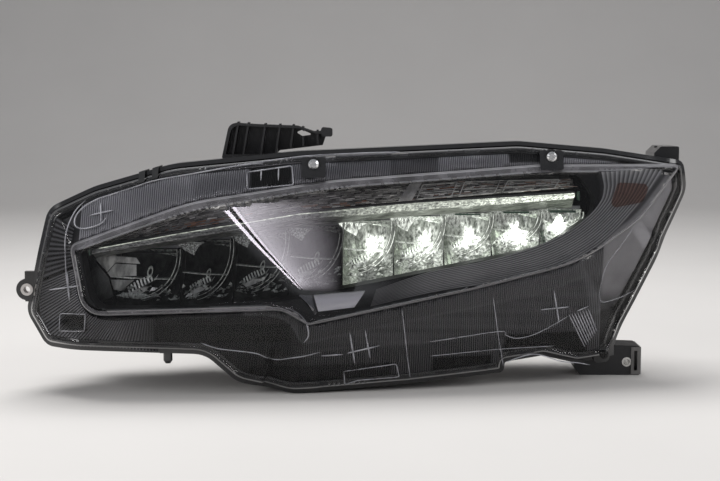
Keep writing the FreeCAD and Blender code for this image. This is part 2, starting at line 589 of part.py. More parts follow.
def rim_top(x):
    """Z of the rim's upper edge at x."""
    at = [z / 4 for z in range(1200, 600, -1) if outside(RIM, x, z / 4)[0] == 0]
    return at[0]


def make_trim_brackets():
    """The two black blocks on the lens flange above the face, and every screw through that flange."""
    screws = []
    raised = prism(inset(FACE, -0.5)).common(slab(FACE_SKIN, -0.4))
    for name, (x, z) in zip(("inboard", "outboard"), TRIM_SCREWS):
        top, seat = rim_top(x) - 6, shelf_y(x, z) - 9.0
        plate = prism(rect(x - 12, x + 12, z - 13, top)).common(slab(SHELF_SKIN, -7.5, -0.2))
        pillar = rod((x, seat, z), 7.2, 20).common(slab(SHELF_SKIN, -20, -0.2))
        fastener = screw((x, seat, z), (0, 1, 0), 2.0, 21, FACE_HEAD_R, 3.0)
        screws.append(fastener)
        recess = rod((x, seat - 20, z), FACE_HEAD_R + 0.8, 20)
        nodes[f"trim_bracket_{name}"] = fuse([plate, pillar]).cut(raised).cut(recess).cut(fastener)
    x, z = LENS_SCREW
    seat = shelf_y(x, z) - 6.5
    screws.append(screw((x, seat, z), (0, 1, 0), 2.0, 23, FACE_HEAD_R - 0.4, 3.0))
    nodes["face_screws"] = Part.makeCompound(screws)
    boss = rod((x, seat, z), 7.0, 10).common(slab(SHELF_SKIN, -12, 1))
    nodes["outer_lens"] = nodes["outer_lens"].fuse(boss).cut(rod((x, 50, z), 2.3, 90))


def make_clips():
    made = []
    for x in CLIP_X:
        wide = prism(rect(x - CLIP_HALF, x + CLIP_HALF, 190, 260, 1))
        strap = wide.common(ring(RIM, -1.3, -0.3)).common(slab(SHELF_SKIN, -1.4, 27.4))
        front = wide.common(ring(RIM, -1.3, 9)).common(slab(SHELF_SKIN, -1.4, -0.4))
        rear = wide.common(ring(RIM, -1.3, 6)).common(slab(SHELF_SKIN, 26.4, 27.4))
        made.append(strap.fuse(front).fuse(rear))
    nodes["lens_clips"] = Part.makeCompound(made)


def make_arm_bracket():
    """A ribbed arm: a web with a wall round its top, ribs in front of it and a screwed foot behind."""
    x0, x1, y0, y1, base = ARM_PAD
    side = prism(ARM, ARM_FRONT, ARM_BACK)
    wall = side.cut(side.translated(V3(ARM_WALL, 0, -ARM_WALL)))
    web = prism(ARM, ARM_BACK - ARM_WALL, ARM_BACK)
    neck = prism(rect(-39, -28, 252.5, 261, 2), ARM_FRONT, ARM_BACK)
    foot = block(x0 + 2, x1 - 2, ARM_FRONT, y1 - 1, base, base + 3.5)
    proud = prism(ARM, ARM_FRONT + 1, ARM_BACK - 1).translated(V3(0, 0, RIB_PROUD))
    ribs = []
    for x, lean in ARM_RIBS:
        rib = [(x - 1, base, 1), (x + 1, base, 1), (x + 1 + lean, 270, 1), (x - 1 + lean, 270, 1)]
        ribs.append(prism(rib).common(proud))
    body = fuse([web, wall, neck, foot] + ribs).cut(prism(ARM_GAP, 0, y1))
    screws = [screw((x, ARM_BACK + 5, base + 3.5), (0, 0, -1), 2.0, 7, 3.9, 2.8) for x in (-126, -96)]
    nodes["arm_screws"] = Part.makeCompound(screws)
    nodes["upper_arm_bracket"] = body.cut(nodes["arm_screws"])


def make_lower_bracket():
    """A hollow block under the outboard end, open below, with a slot and a sheet clip at its far end."""
    x0, x1, y0, y1 = BRACKET
    step, low, high, wall = x0 + BRACKET_STEP, 24, 32, 3
    x, z = LOWER_BOLT
    side = [(x0 + 6, 0, 3), (x1, 0, 1), (x1, high - 1, 2), (step, high, 1), (step, low, 1), (x0, low, 1),
            (x0, 9, 3)]
    shape = prism(side, y0, y1)
    for a, b, top in ((x0 + 7, step - 1, low - 4), (step + 2, x1 - 7.5, high - wall)):
        shape = shape.cut(block(a, b, y0 + wall, y1 - wall, -1, top))
    shape = shape.fuse(rod((x, y0, z), 6.5, y1 - y0)).cut(rod((x, y0 - 9, z), SLEEVE_R, 60))
    slot = block(x1 - 6, x1 - 2.5, y0 - 5, y1 + 5, 5, 26)
    middle = (y0 + y1) / 2
    screws = [screw((at, middle, low - 4), (0, 0, 1), 2.0, 12, 4.4, 2.8) for at in (x0 + 14, x0 + 31)]
    nodes["lower_bracket_screws"] = Part.makeCompound(screws)
    nodes["lower_mount_bracket"] = shape.cut(slot).cut(nodes["lower_bracket_screws"])
    clip = block(x1 - 9, x1 + 1.3, y0 - 1.2, y1 + 1.2, 1, 30)
    clip = clip.cut(block(x1 - 10, x1 + 0.1, y0 - 0.1, y1 + 0.1, 0, 31))
    nodes["lower_bracket_clip"] = clip.cut(slot)


def make_collars():
    """The steel sleeves and the nylon bush that the mounting bolts pass through."""
    x, y = TAB
    upper = tube((x, y, TAB_FOOT), SLEEVE_R, BOLT_R, TAB_TOP - TAB_FOOT, Z_AXIS)
    bolt_x, bolt_z = LOWER_BOLT
    _, _, y0, y1 = BRACKET
    lower = tube((bolt_x, y0, bolt_z), SLEEVE_R, BOLT_R, y1 - y0)
    nodes["mount_collars"] = Part.makeCompound([upper, lower])
    ex, ez = EAR
    front = ear_front() - 1.5
    lip = tube((ex, front, ez), SLEEVE_R + 1, BOLT_R, 1.5)
    nodes["side_mount_bush"] = tube((ex, front, ez), SLEEVE_R, BOLT_R, BUSH_LENGTH).fuse(lip)


# ---------------------------------------------------------------- assembly
make_lens()
make_seal()
make_trim()
make_signals()
make_bulb_socket("turn", TURN_BULB, 7.5, 46)
make_bulb_socket("marker", MARKER_BULB, 5.2, 34)
lamp_cells = cells()
make_reflectors()
make_heat_sink("main_heat_sink", lamp_cells[:MAIN_BEAM_CELLS])
make_heat_sink("dipped_heat_sink", lamp_cells[MAIN_BEAM_CELLS:])
make_led_parts("main", lamp_cells[:MAIN_BEAM_CELLS])
make_led_parts("dipped", lamp_cells[MAIN_BEAM_CELLS:])
make_carrier()
make_adjuster()
make_electrics()
make_trim_brackets()
make_clips()
make_arm_bracket()
make_lower_bracket()
make_collars()

# The housing is bored last, round everything that passes through it or screws into it.
housing = make_housing()
passing = [bayonet_hole(*TURN_BULB), bayonet_hole(*MARKER_BULB)]
passing.append(rod((ADJUST_X, 150, ADJUST_Z), 4.0, 60))
passing += [rod((TAB[0], TAB[1], 200), SLEEVE_R, 60, Z_AXIS), rod((EAR[0], 20, EAR[1]), SLEEVE_R, 80)]
for node in ("pivot_studs", "face_screws", "arm_screws", "lower_bracket_screws", "driver_screws"):
    passing.append(nodes[node])
nodes["housing"] = housing.cut(Part.makeCompound(passing))

os.makedirs("parts", exist_ok=True)
for node, shape in nodes.items():
    shape.translate(ORIGIN_SHIFT)
    shape.exportStep(f"parts/{node}.step")
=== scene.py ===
"""Looks of the car headlight assembly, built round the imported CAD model.

Lengths in the data are millimetres.
"""
import json
import math

import bmesh
import bpy
import numpy as np
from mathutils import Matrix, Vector
from mathutils.geometry import delaunay_2d_cdt

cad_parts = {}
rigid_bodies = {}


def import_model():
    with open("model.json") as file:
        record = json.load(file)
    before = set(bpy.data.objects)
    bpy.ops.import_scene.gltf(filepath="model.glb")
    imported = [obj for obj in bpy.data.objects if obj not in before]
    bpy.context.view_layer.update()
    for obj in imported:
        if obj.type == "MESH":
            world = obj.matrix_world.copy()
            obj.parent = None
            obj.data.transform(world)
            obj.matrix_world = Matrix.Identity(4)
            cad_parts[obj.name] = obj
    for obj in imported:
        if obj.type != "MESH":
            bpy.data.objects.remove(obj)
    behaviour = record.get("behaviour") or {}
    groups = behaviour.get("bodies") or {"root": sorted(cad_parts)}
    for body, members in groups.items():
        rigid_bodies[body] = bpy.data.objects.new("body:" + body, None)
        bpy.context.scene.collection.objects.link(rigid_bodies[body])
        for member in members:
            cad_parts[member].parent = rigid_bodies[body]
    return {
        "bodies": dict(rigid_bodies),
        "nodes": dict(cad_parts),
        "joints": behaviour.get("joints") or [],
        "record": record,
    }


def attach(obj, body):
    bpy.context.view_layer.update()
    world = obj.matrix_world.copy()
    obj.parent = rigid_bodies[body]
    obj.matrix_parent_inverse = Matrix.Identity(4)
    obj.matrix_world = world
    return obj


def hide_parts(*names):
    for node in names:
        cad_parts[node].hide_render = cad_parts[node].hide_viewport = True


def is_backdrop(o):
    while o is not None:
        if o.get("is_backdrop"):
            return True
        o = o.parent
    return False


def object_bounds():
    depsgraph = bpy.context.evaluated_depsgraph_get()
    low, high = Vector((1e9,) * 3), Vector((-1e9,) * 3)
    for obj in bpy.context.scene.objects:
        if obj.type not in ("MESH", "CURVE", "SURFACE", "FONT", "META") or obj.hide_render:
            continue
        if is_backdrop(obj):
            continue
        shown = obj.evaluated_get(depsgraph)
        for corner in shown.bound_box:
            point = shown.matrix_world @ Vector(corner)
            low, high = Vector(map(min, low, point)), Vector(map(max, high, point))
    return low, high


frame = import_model()
NODES = frame["nodes"]
cad_low, cad_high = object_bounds()

MM = 0.001
PLASTIC_IOR = 1.5
SHIFT = np.array([0.7, -112.9, 0.0])      # from the lamp's design frame to the frame's origin


# ---------------------------------------------------------------- material building
def graph(name):
    """A new node material, a function that adds nodes to it, and its output node."""
    material = bpy.data.materials.new(name)
    material.use_nodes = True
    tree = material.node_tree
    tree.nodes.clear()

    def node(kind, values=None, **settings):
        made = tree.nodes.new("ShaderNode" + kind)
        for key, value in settings.items():
            setattr(made, key, value)
        for key, value in (values or {}).items():
            if isinstance(value, bpy.types.NodeSocket):
                tree.links.new(value, made.inputs[key])
            else:
                made.inputs[key].default_value = value
        return made

    return material, node, node("OutputMaterial")


def coordinates(node, stretch=(1, 1, 1)):
    """Object coordinates in metres, scaled along each axis."""
    place = node("TexCoord").outputs["Object"]
    return node("Mapping", {"Vector": place, "Scale": stretch}).outputs["Vector"]


def noise(node, size, detail=3.0, stretch=(1, 1, 1), roughness=0.55):
    """Noise from 0 to 1 whose features are about size millimetres."""
    return node("TexNoise", {"Vector": coordinates(node, stretch), "Scale": 1 / (size * MM), "Detail": detail,
                             "Roughness": roughness}).outputs["Fac"]


def spread(node, value, low, high, start=0.3, end=0.7):
    """value mapped from start..end to low..high."""
    return node("MapRange", {"Value": value, "From Min": start, "From Max": end, "To Min": low,
                             "To Max": high}).outputs["Result"]


def mix_colours(node, fac, a, b):
    made = node("Mix", data_type="RGBA")
    tree = made.id_data
    for socket, value in ((made.inputs[0], fac), (made.inputs[6], a), (made.inputs[7], b)):
        if isinstance(value, bpy.types.NodeSocket):
            tree.links.new(value, socket)
        else:
            socket.default_value = (*value, 1) if isinstance(value, tuple) else value
    return made.outputs[2]


def solid(name, colour, rough=0.4, metallic=0.0, grain=0.5, bump=0.05, patch=0.15, rough_patch=0.06, coat=0.0,
          stretch=(1, 1, 1), dust=0.0):
    """A moulded, cast or plated finish: grain millimetres across, patchy colour and gloss, and light dust."""
    material, node, out = graph(name)
    broad = noise(node, 45, 4)
    fine = noise(node, grain, 2, stretch)
    darker = tuple(c * (1 - patch) for c in colour)
    lighter = tuple(min(1, c * (1 + patch)) for c in colour)
    tint = mix_colours(node, spread(node, broad, 0, 1), darker, lighter)
    roughness = spread(node, noise(node, 9, 5), rough - rough_patch, rough + rough_patch)
    if dust:
        up = node("SeparateXYZ", {"Vector": node("NewGeometry").outputs["Normal"]}).outputs["Z"]
        flat_share = spread(node, up, 0, dust, 0.35, 0.95)
        specks = spread(node, noise(node, 5, 6), 0.2, 1)
        lying = node("Math", {0: flat_share, 1: specks}, operation="MULTIPLY").outputs[0]
        tint = mix_colours(node, lying, tint, (0.42, 0.40, 0.38))
    bumped = node("Bump", {"Height": fine, "Strength": bump, "Distance": grain * MM * 0.5}).outputs["Normal"]
    shader = node("BsdfPrincipled", {"Base Color": tint, "Roughness": roughness, "Metallic": metallic,
                                     "Normal": bumped, "Coat Weight": coat, "Coat Roughness": 0.05})
    material.node_tree.links.new(shader.outputs[0], out.inputs[0])
    return material


def see_through(name, tint, gloss=1.0, haze=0.03, haze_colour=(0.6, 0.6, 0.62), rough=0.03):
    """Clear moulded plastic as a thin skin: it lets light through, shines, and holds faint dust."""
    material, node, out = graph(name)
    mist = spread(node, noise(node, 14, 6), haze * 0.5, haze * 1.6)
    clear = node("BsdfTransparent", {"Color": (*tint, 1)})
    shine = node("BsdfGlossy", {"Color": (gloss, gloss, gloss, 1), "Roughness": rough})
    milk = node("BsdfDiffuse", {"Color": (*haze_colour, 1)})
    fresnel = node("Fresnel", {"IOR": PLASTIC_IOR})
    skin = node("MixShader", {0: fresnel.outputs[0], 1: clear.outputs[0], 2: shine.outputs[0]})
    dusty = node("MixShader", {0: mist, 1: skin.outputs[0], 2: milk.outputs[0]})
    material.node_tree.links.new(dusty.outputs[0], out.inputs[0])
    return material


BLACK_GLOSS = solid("black_gloss_plastic", (0.010, 0.010, 0.011), 0.20, grain=0.6, bump=0.03, coat=0.4,
                    dust=0.05)
BLACK_MATT = solid("black_matt_plastic", (0.014, 0.014, 0.015), 0.48, grain=0.45, bump=0.25, dust=0.07)
TRIM_GREY = solid("trim_satin_grey", (0.050, 0.049, 0.053), 0.34, grain=0.35, bump=0.12, patch=0.12)
ZINC = solid("zinc_plated_steel", (0.62, 0.62, 0.60), 0.24, 1.0, grain=0.3, bump=0.10, patch=0.08)
CAST = solid("cast_aluminium", (0.46, 0.46, 0.47), 0.42, 1.0, grain=0.5, bump=0.35, patch=0.14)
NYLON = solid("natural_nylon", (0.58, 0.57, 0.52), 0.42, grain=0.8, bump=0.06, patch=0.06)
WHITE_BUSH = solid("white_bush_plastic", (0.50, 0.47, 0.45), 0.38, grain=0.6, bump=0.08, patch=0.08)
RUBBER = solid("seal_rubber", (0.018, 0.018, 0.018), 0.70, grain=0.5, bump=0.25)
BOARD = solid("circuit_board_green", (0.018, 0.085, 0.045), 0.32, grain=0.25, bump=0.08, patch=0.25, coat=0.3)
CHROME = solid("mirror_chrome", (0.80, 0.82, 0.83), 0.07, 1.0, grain=2.0, bump=0.02, patch=0.04,
               rough_patch=0.03)
SMOKED_CHROME = solid("smoked_chrome", (0.30, 0.29, 0.29), 0.12, 1.0, grain=2.0, bump=0.04, patch=0.10)
BLADE_SILVER = solid("blade_silver", (0.84, 0.83, 0.90), 0.34, 0.2, grain=1.5, bump=0.03, patch=0.04)
INNER_CLEAR = see_through("inner_lens_clear", (0.90, 0.89, 0.88), haze=0.03)
BULB_GLASS = see_through("bulb_amber_glass", (0.95, 0.55, 0.18), haze=0.02)
AMBER = see_through("amber_reflex", (0.80, 0.58, 0.50), haze=0.10, haze_colour=(0.20, 0.10, 0.08))

def sheen_band_lens(name):
    """The outer lens: clear skin with faint dust, and a painted sheen: it is made up to three times as
    glossy, with a brighter gloss colour, in a diagonal band across the raised face where the soft panel's
    reflection falls.
    """
    material, node, out = graph(name)
    place = node("SeparateXYZ", {"Vector": node("TexCoord").outputs["Object"]}).outputs
    across = node("Math", {0: place["X"], 1: place["Z"]}, operation="ADD").outputs[0]
    # Painted sheen, not a hard coat: coat rises across a diagonal band of the face and is cut off below and
    # above in height; it raises the gloss where the panel's reflection falls.
    coat = spread(node, across, 0, 1, 0.030, 0.050)
    for value, start, end in ((across, 0.10, 0.17), (place["Z"], 0.106, 0.094), (place["Z"], 0.186, 0.200)):
        fade = spread(node, value, 1, 0, start, end)
        coat = node("Math", {0: coat, 1: fade}, operation="MULTIPLY").outputs[0]
    fresnel = node("Fresnel", {"IOR": PLASTIC_IOR}).outputs[0]
    sheen_gain = spread(node, coat, 1, 3)
    share = node("Math", {0: fresnel, 1: sheen_gain}, operation="MULTIPLY", use_clamp=True).outputs[0]
    clear = node("BsdfTransparent", {"Color": (0.97, 0.97, 0.975, 1)})
    gloss = mix_colours(node, coat, (0.45, 0.45, 0.45), (1, 1, 1))
    shine = node("BsdfGlossy", {"Color": gloss, "Roughness": 0.015})
    milk = node("BsdfDiffuse", {"Color": (0.6, 0.6, 0.62, 1)})
    skin = node("MixShader", {0: share, 1: clear.outputs[0], 2: shine.outputs[0]})
    mist = spread(node, noise(node, 14, 6), 0.003, 0.0096)
    dusty = node("MixShader", {0: mist, 1: skin.outputs[0], 2: milk.outputs[0]})
    material.node_tree.links.new(dusty.outputs[0], out.inputs[0])
    return material


def glowing(name, colour, rough, metallic, glow_colour=(1, 1, 1), gain=0.0, fleck=2.2, low=0.55, high=1.5,
            stretch=(1, 1, 0.45), dark=0.85, patch=12):
    """A finish that also shines where the mesh's glow value says so, with flecks of glow from low to high. On
    the reflector cells and the guide shelf the glow is painted light: emission standing in for the LED light
    they reflect.
    """
    material, node, out = graph(name)
    strength = node("Attribute", attribute_name="glow").outputs["Fac"]
    flecks = spread(node, noise(node, fleck, 3, stretch), low, high, 0.36, 0.66)
    power = node("Math", {0: strength, 1: flecks}, operation="MULTIPLY").outputs[0]
    power = node("Math", {0: power, 1: gain}, operation="MULTIPLY").outputs[0]
    shade = spread(node, noise(node, patch, 3, stretch), 0, 1, 0.38, 0.62)
    tint = mix_colours(node, shade, tuple(c * dark for c in colour), colour)
    shader = node("BsdfPrincipled", {"Base Color": tint, "Roughness": rough, "Metallic": metallic,
                                     "Emission Color": (*glow_colour, 1), "Emission Strength": power})
    material.node_tree.links.new(shader.outputs[0], out.inputs[0])
    return material


def toned(name, dark, light, rough, sheen=0.5):
    """A moulded plastic whose shade follows the mesh's grey value, with fine grain."""
    material, node, out = graph(name)
    shade = node("Attribute", attribute_name="grey").outputs["Fac"]
    patch = spread(node, noise(node, 30, 4), 0.88, 1.12)
    fac = node("Math", {0: shade, 1: patch}, operation="MULTIPLY", use_clamp=True).outputs[0]
    tint = mix_colours(node, fac, dark, light)
    gloss = spread(node, noise(node, 8, 4), rough - 0.05, rough + 0.07)
    height = noise(node, 0.5, 2)
    bumped = node("Bump", {"Height": height, "Strength": 0.12, "Distance": 0.0003}).outputs["Normal"]
    shader = node("BsdfPrincipled", {"Base Color": tint, "Roughness": gloss, "Normal": bumped,
                                     "Specular IOR Level": sheen})
    material.node_tree.links.new(shader.outputs[0], out.inputs[0])
    return material


def lit_above_shaded_below(name, bright, dark, height):
    """Plated steel, painted bright above a height in metres and painted dark below it: painted shade on the
    screw that sits low, in shadow.
    """
    material, node, out = graph(name)
    place = node("SeparateXYZ", {"Vector": node("TexCoord").outputs["Object"]}).outputs["Z"]
    fac = spread(node, place, 0, 1, height - 0.005, height + 0.005)
    tint = mix_colours(node, fac, dark, bright)
    gloss = spread(node, noise(node, 1.5, 3), 0.16, 0.30)
    shader = node("BsdfPrincipled", {"Base Color": tint, "Roughness": gloss, "Metallic": 1.0})
    material.node_tree.links.new(shader.outputs[0], out.inputs[0])
    return material


def turn_chips(name):
    """Facetted turn signal plastic over dark chrome: each facet is painted its own brightness, a painted
    glint, and some look amber.
    """
    material, node, out = graph(name)
    shade = node("Attribute", attribute_name="grey").outputs["Fac"]
    amber = node("Attribute", attribute_name="amber").outputs["Fac"]
    streak = spread(node, noise(node, 3, 3, (0.25, 1, 1)), -0.12, 0.12)
    fac = node("Math", {0: shade, 1: streak}, operation="ADD", use_clamp=True).outputs[0]
    tint = mix_colours(node, fac, (0.020, 0.019, 0.020), (0.95, 0.91, 0.91))
    tint = mix_colours(node, amber, tint, (0.36, 0.14, 0.07))
    shader = node("BsdfPrincipled", {"Base Color": tint, "Roughness": 0.25, "Metallic": 0.1,
                                     "Specular IOR Level": 0.6})
    material.node_tree.links.new(shader.outputs[0], out.inputs[0])
    return material


# The outer lens carries painted sheen: extra gloss in a band where the soft panel's reflection falls.
LENS_CLEAR = sheen_band_lens("lens_clear")
LENS_FROSTED = see_through("lens_frosted_edge", (0.80, 0.80, 0.82), gloss=0.5, haze=0.42,
                           haze_colour=(0.22, 0.215, 0.23), rough=0.30)
RIB_CLEAR = see_through("turn_signal_rib", (0.8, 0.8, 0.8), haze=0.72, haze_colour=(0.72, 0.70, 0.72),
                        rough=0.12)
# The flutes are opaque, with painted light in their grey: light crests, dark grooves and brighter zones.
FLUTE_PAINTED_LIGHT = toned("lens_flute", (0.001, 0.001, 0.001), (0.66, 0.65, 0.70), 0.40, 0.12)
LENS_LINE = see_through("lens_ridge_line", (0.8, 0.8, 0.83), haze=0.38, haze_colour=(0.62, 0.62, 0.66),
                        rough=0.12)
CHROME_DARK = solid("dark_prism_chrome", (0.16, 0.16, 0.17), 0.12, 1.0, grain=2.0, bump=0.02)
# The trim ridges' grey holds painted shade in the grooves and painted highlights on the crests.
RIDGE_GREY = toned("trim_ridge_grey", (0.004, 0.004, 0.005), (0.98, 0.97, 1.00), 0.40, 0.4)
TRIM_PANEL = toned("trim_panel_plastic", (0.002, 0.002, 0.003), (0.44, 0.43, 0.45), 0.50, 0.25)
# Unlit cells: painted reflections. The chrome is drawn as a near-black bowl with pale facets, shards, plates
# and knurl, mottled in small patches, standing in for the room seen in it.
CELL_DARK = glowing("cell_unlit_bowl", (0.050, 0.054, 0.050), 0.34, 0.3, dark=0.2, patch=9)
CELL_BRIGHT = glowing("cell_unlit_facets", (0.90, 0.94, 0.89), 0.26, 0.2, dark=0.45, patch=2.5)
CELL_SHARD = glowing("cell_unlit_shards", (0.78, 0.82, 0.78), 0.26, 0.2, dark=0.12, patch=3.0)
CELL_PLATE = glowing("cell_unlit_plates", (0.62, 0.63, 0.61), 0.34, 0.2, dark=0.45, patch=6)
CELL_KNURL = glowing("cell_unlit_knurl", (0.84, 0.88, 0.86), 0.34, 0.2, stretch=(1, 1, 1), dark=0.10,
                     patch=1.5)
# The lit cells' chrome carries painted light: emission standing in for the LED light reflected in it.
CELL_LIT = glowing("cell_lit_chrome", (0.36, 0.38, 0.35), 0.16, 1.0, (0.95, 1.0, 0.91), 1.15, 2.4, 0.14, 1.9)
GUIDE_CLEAR = glowing("light_guide_acrylic", (0.55, 0.55, 0.54), 0.16, 0.3, (0.94, 1.0, 0.86), 1.0, 1.6, 0.3,
                      2.2, (0.3, 1, 1), 0.28, 2.0)
# The guide shelf's glow is painted light from the guide above it.
GUIDE_SHELF = glowing("guide_shelf_chrome", (0.56, 0.57, 0.54), 0.32, 0.2, (0.90, 1.0, 0.80), 1.0, 3.0, 0.3,
                      1.6, (0.07, 1, 1), 0.08, 1.6)
TURN_LENS = turn_chips("turn_signal_facets")
STEEL_DARK = solid("dulled_clip_steel", (0.10, 0.10, 0.10), 0.42, 1.0, grain=0.3, bump=0.15, patch=0.15)
# The face screws are painted dark below 0.12 m: painted shade on the screw that sits low.
FACE_SCREWS = lit_above_shaded_below("face_screw_steel", (0.80, 0.80, 0.80), (0.03, 0.03, 0.03), 0.12)
BRACKET_END = solid("grey_clip_plate", (0.16, 0.155, 0.15), 0.45, 0.3, grain=0.5, bump=0.2, patch=0.2,
                    dust=0.1)

LOOKS = {
    "outer_lens": LENS_CLEAR, "lens_seal": RUBBER, "inner_trim": TRIM_GREY, "turn_reflector": SMOKED_CHROME,
    "turn_inner_lens": INNER_CLEAR, "light_guide": INNER_CLEAR, "light_guide_holder": TRIM_GREY,
    "guide_led_boards": BOARD, "accent_blade": BLADE_SILVER, "side_reflex": AMBER, "turn_socket": BLACK_MATT,
    "turn_socket_seal": RUBBER, "turn_bulb": BULB_GLASS, "marker_socket": BLACK_MATT,
    "marker_socket_seal": RUBBER, "marker_bulb": BULB_GLASS, "main_heat_sink": CAST, "dipped_heat_sink": CAST,
    "main_led_boards": BOARD, "main_leds": NYLON, "dipped_led_boards": BOARD, "dipped_leds": NYLON,
    "pivot_socket_inboard": NYLON, "pivot_socket_outboard": NYLON, "adjuster_socket": NYLON,
    "carrier_frame": CAST, "carrier_screws": ZINC, "adjuster_screw": ZINC, "adjuster_gear": NYLON,
    "gearbox_case": BLACK_MATT, "gearbox_cover": BLACK_MATT, "gearbox_screws": ZINC, "pivot_studs": ZINC,
    "driver_case": CAST, "driver_cover": BLACK_MATT, "driver_screws": ZINC, "main_connector": BLACK_MATT,
    "connector_pins": ZINC, "vent_caps": RUBBER, "trim_bracket_inboard": BLACK_GLOSS,
    "trim_bracket_outboard": BLACK_GLOSS, "face_screws": FACE_SCREWS, "lens_clips": STEEL_DARK,
    "arm_screws": ZINC, "upper_arm_bracket": BLACK_MATT, "lower_bracket_screws": ZINC,
    "lower_mount_bracket": BLACK_MATT, "lower_bracket_clip": BRACKET_END, "mount_collars": ZINC,
    "side_mount_bush": WHITE_BUSH, "housing": BLACK_GLOSS,
}
for name, thing in NODES.items():
    look = LOOKS.get(name, CHROME)
    thing.data.materials.clear()
    thing.data.materials.append(look)

# ---------------------------------------------------------------- outlines and surfaces, in millimetres
FACE = [(-279, 150, 8), (-266, 84, 26), (-76, 88, 30), (-50, 73, 7), (110, 104, 300), (222, 129, 200),
        (284, 170, 120), (328, 223, 4), (180, 224, 300), (-30, 210, 500), (-165, 190, 260)]
RIM = [(-307, 184, 22), (-332, 80, 18), (-309, 49, 16), (-152, 42, 28), (-122, 13, 34), (-70, 0, 60),
       (48, 6, 12), (146, 14, 5), (147, 25, 3), (186, 30, 14), (222, 20, 10), (259, 24, 15), (297, 104, 70),
       (340, 196, 26), (334, 227, 10), (250, 240, 90), (160, 248, 120), (-60, 239, 300), (-185, 227, 120),
       (-262, 205, 90)]
OPENING = [(-271, 144, 4), (-258, 88, 20), (-124, 89, 60), (-60, 98, 60), (186, 142, 60), (234, 172, 14),
           (238, 190, 14), (222, 214, 10), (100, 212, 300), (-60, 201, 300), (-160, 190, 200)]
TURN_LOW = [(-255, 147.5), (-176, 162), (-60, 180), (60, 189), (213, 199)]
TURN_HIGH = [(-255, 147.5), (-160, 186.5), (-60, 197.5), (100, 208.5), (219, 210)]
GUIDE_LOW = [(-262, 139.5), (-176, 153), (-60, 171.5), (60, 180.5), (216, 189.5), (219, 192)]
GUIDE_HIGH = [(-262, 144.5), (-176, 159.8), (-60, 177.8), (60, 186.8), (216, 194.2), (219, 195)]
CELL_EDGES = [-244, -180, -127, -72, -18, 34, 85, 134, 184, 228]
CELL_FRONT = 48.0
CELL_FOCUS = 18.0
LIT_FROM = 4


def face_y(x, z):
    """Y of the raised lens face."""
    along, above = x + 280, z - 130
    return 10 + 0.02 * along + 0.00017 * along ** 2 + 0.18 * above + 0.0005 * above ** 2


def inset(points, d):
    """The control points of an outline moved inwards by d, with their corner radii."""
    total = sum(a[0] * b[1] - b[0] * a[1] for a, b in zip(points, points[1:] + points[:1]))
    turn = 1 if total > 0 else -1
    made = []
    for i, (x, z, r) in enumerate(points):
        a = np.array([x, z]) - points[i - 1][:2]
        b = np.array(points[(i + 1) % len(points)][:2]) - (x, z)
        a, b = a / np.hypot(*a), b / np.hypot(*b)
        na, nb = np.array([-a[1], a[0]]) * turn, np.array([-b[1], b[0]]) * turn
        step = (na + nb) * (d / (1 + na @ nb))
        convex = (a[0] * b[1] - a[1] * b[0]) * turn > 0
        made.append((x + step[0], z + step[1], max(1.0, r - d if convex else r + d)))
    return made


def rounded(points, step=2.5):
    """The closed outline with its corners rounded, as evenly spaced points."""
    path = []
    n = len(points)
    for i, (x, z, r) in enumerate(points):
        p = np.array([x, z], float)
        to_a, to_b = np.array(points[i - 1][:2]) - p, np.array(points[(i + 1) % n][:2]) - p
        room = 0.48 * min(np.hypot(*to_a), np.hypot(*to_b))
        to_a, to_b = to_a / np.hypot(*to_a), to_b / np.hypot(*to_b)
        half = math.acos(max(-1, min(1, float(to_a @ to_b)))) / 2
        reach = min(r / math.tan(half), room)
        start, end = p + to_a * reach, p + to_b * reach
        for t in np.linspace(0, 1, 9):     # a quadratic through the tangent points is close to the arc
            path.append(start * (1 - t) ** 2 + p * 2 * t * (1 - t) + end * t ** 2)
    return resample(np.array(path), step, closed=True)


def resample(path, step, closed=False):
    """Points at even spacing near step along a polyline."""
    path = np.asarray(path, float)
    if closed:
        path = np.vstack([path, path[:1]])
    length = np.concatenate([[0], np.cumsum(np.hypot(*np.diff(path, axis=0).T))])
    count = max(2, int(round(length[-1] / step)))
    at = np.linspace(0, length[-1], count + 1)
    made = np.stack([np.interp(at, length, path[:, 0]), np.interp(at, length, path[:, 1])], 1)
    return made[:-1] if closed else made


def smooth(points, step=2.0):
    """A smooth curve through the points, at even spacing."""
    p = np.asarray(points, float)
    p = np.vstack([2 * p[0] - p[1], p, 2 * p[-1] - p[-2]])
    made = []
    for i in range(1, len(p) - 2):
        for t in np.linspace(0, 1, 12, endpoint=False):
            a, b, c, d = p[i - 1], p[i], p[i + 1], p[i + 2]
            made.append(0.5 * (2 * b + (c - a) * t + (2 * a - 5 * b + 4 * c - d) * t ** 2
                               + (3 * b - a - 3 * c + d) * t ** 3))
    made.append(p[-2])
    return resample(np.array(made), step)


def inside(loop, points):
    """Which points lie in a closed outline."""
    x, z = points[:, 0], points[:, 1]
    found = np.zeros(len(points), bool)
    for (ax, az), (bx, bz) in zip(loop, np.roll(loop, -1, axis=0)):
        if az == bz:
            continue
        crosses = ((az > z) != (bz > z)) & (x < (bx - ax) * (z - az) / (bz - az) + ax)
        found ^= crosses
    return found


def nearest(loop, points, closed=True):
    """Distance from each point to a polyline, and the direction away from it."""
    ends = np.roll(loop, -1, axis=0) if closed else loop[1:]
    best = np.full(len(points), 1e9)
    away = np.zeros((len(points), 2))
    for a, b in zip(loop, ends):
        run = max((b - a) @ (b - a), 1e-9)
        t = np.clip(((points - a) @ (b - a)) / run, 0, 1)
        off = points - a - t[:, None] * (b - a)
        d = np.hypot(off[:, 0], off[:, 1])
        closer = d < best
        best[closer] = d[closer]
        away[closer] = off[closer] / np.maximum(d[closer], 1e-6)[:, None]
    return best, away


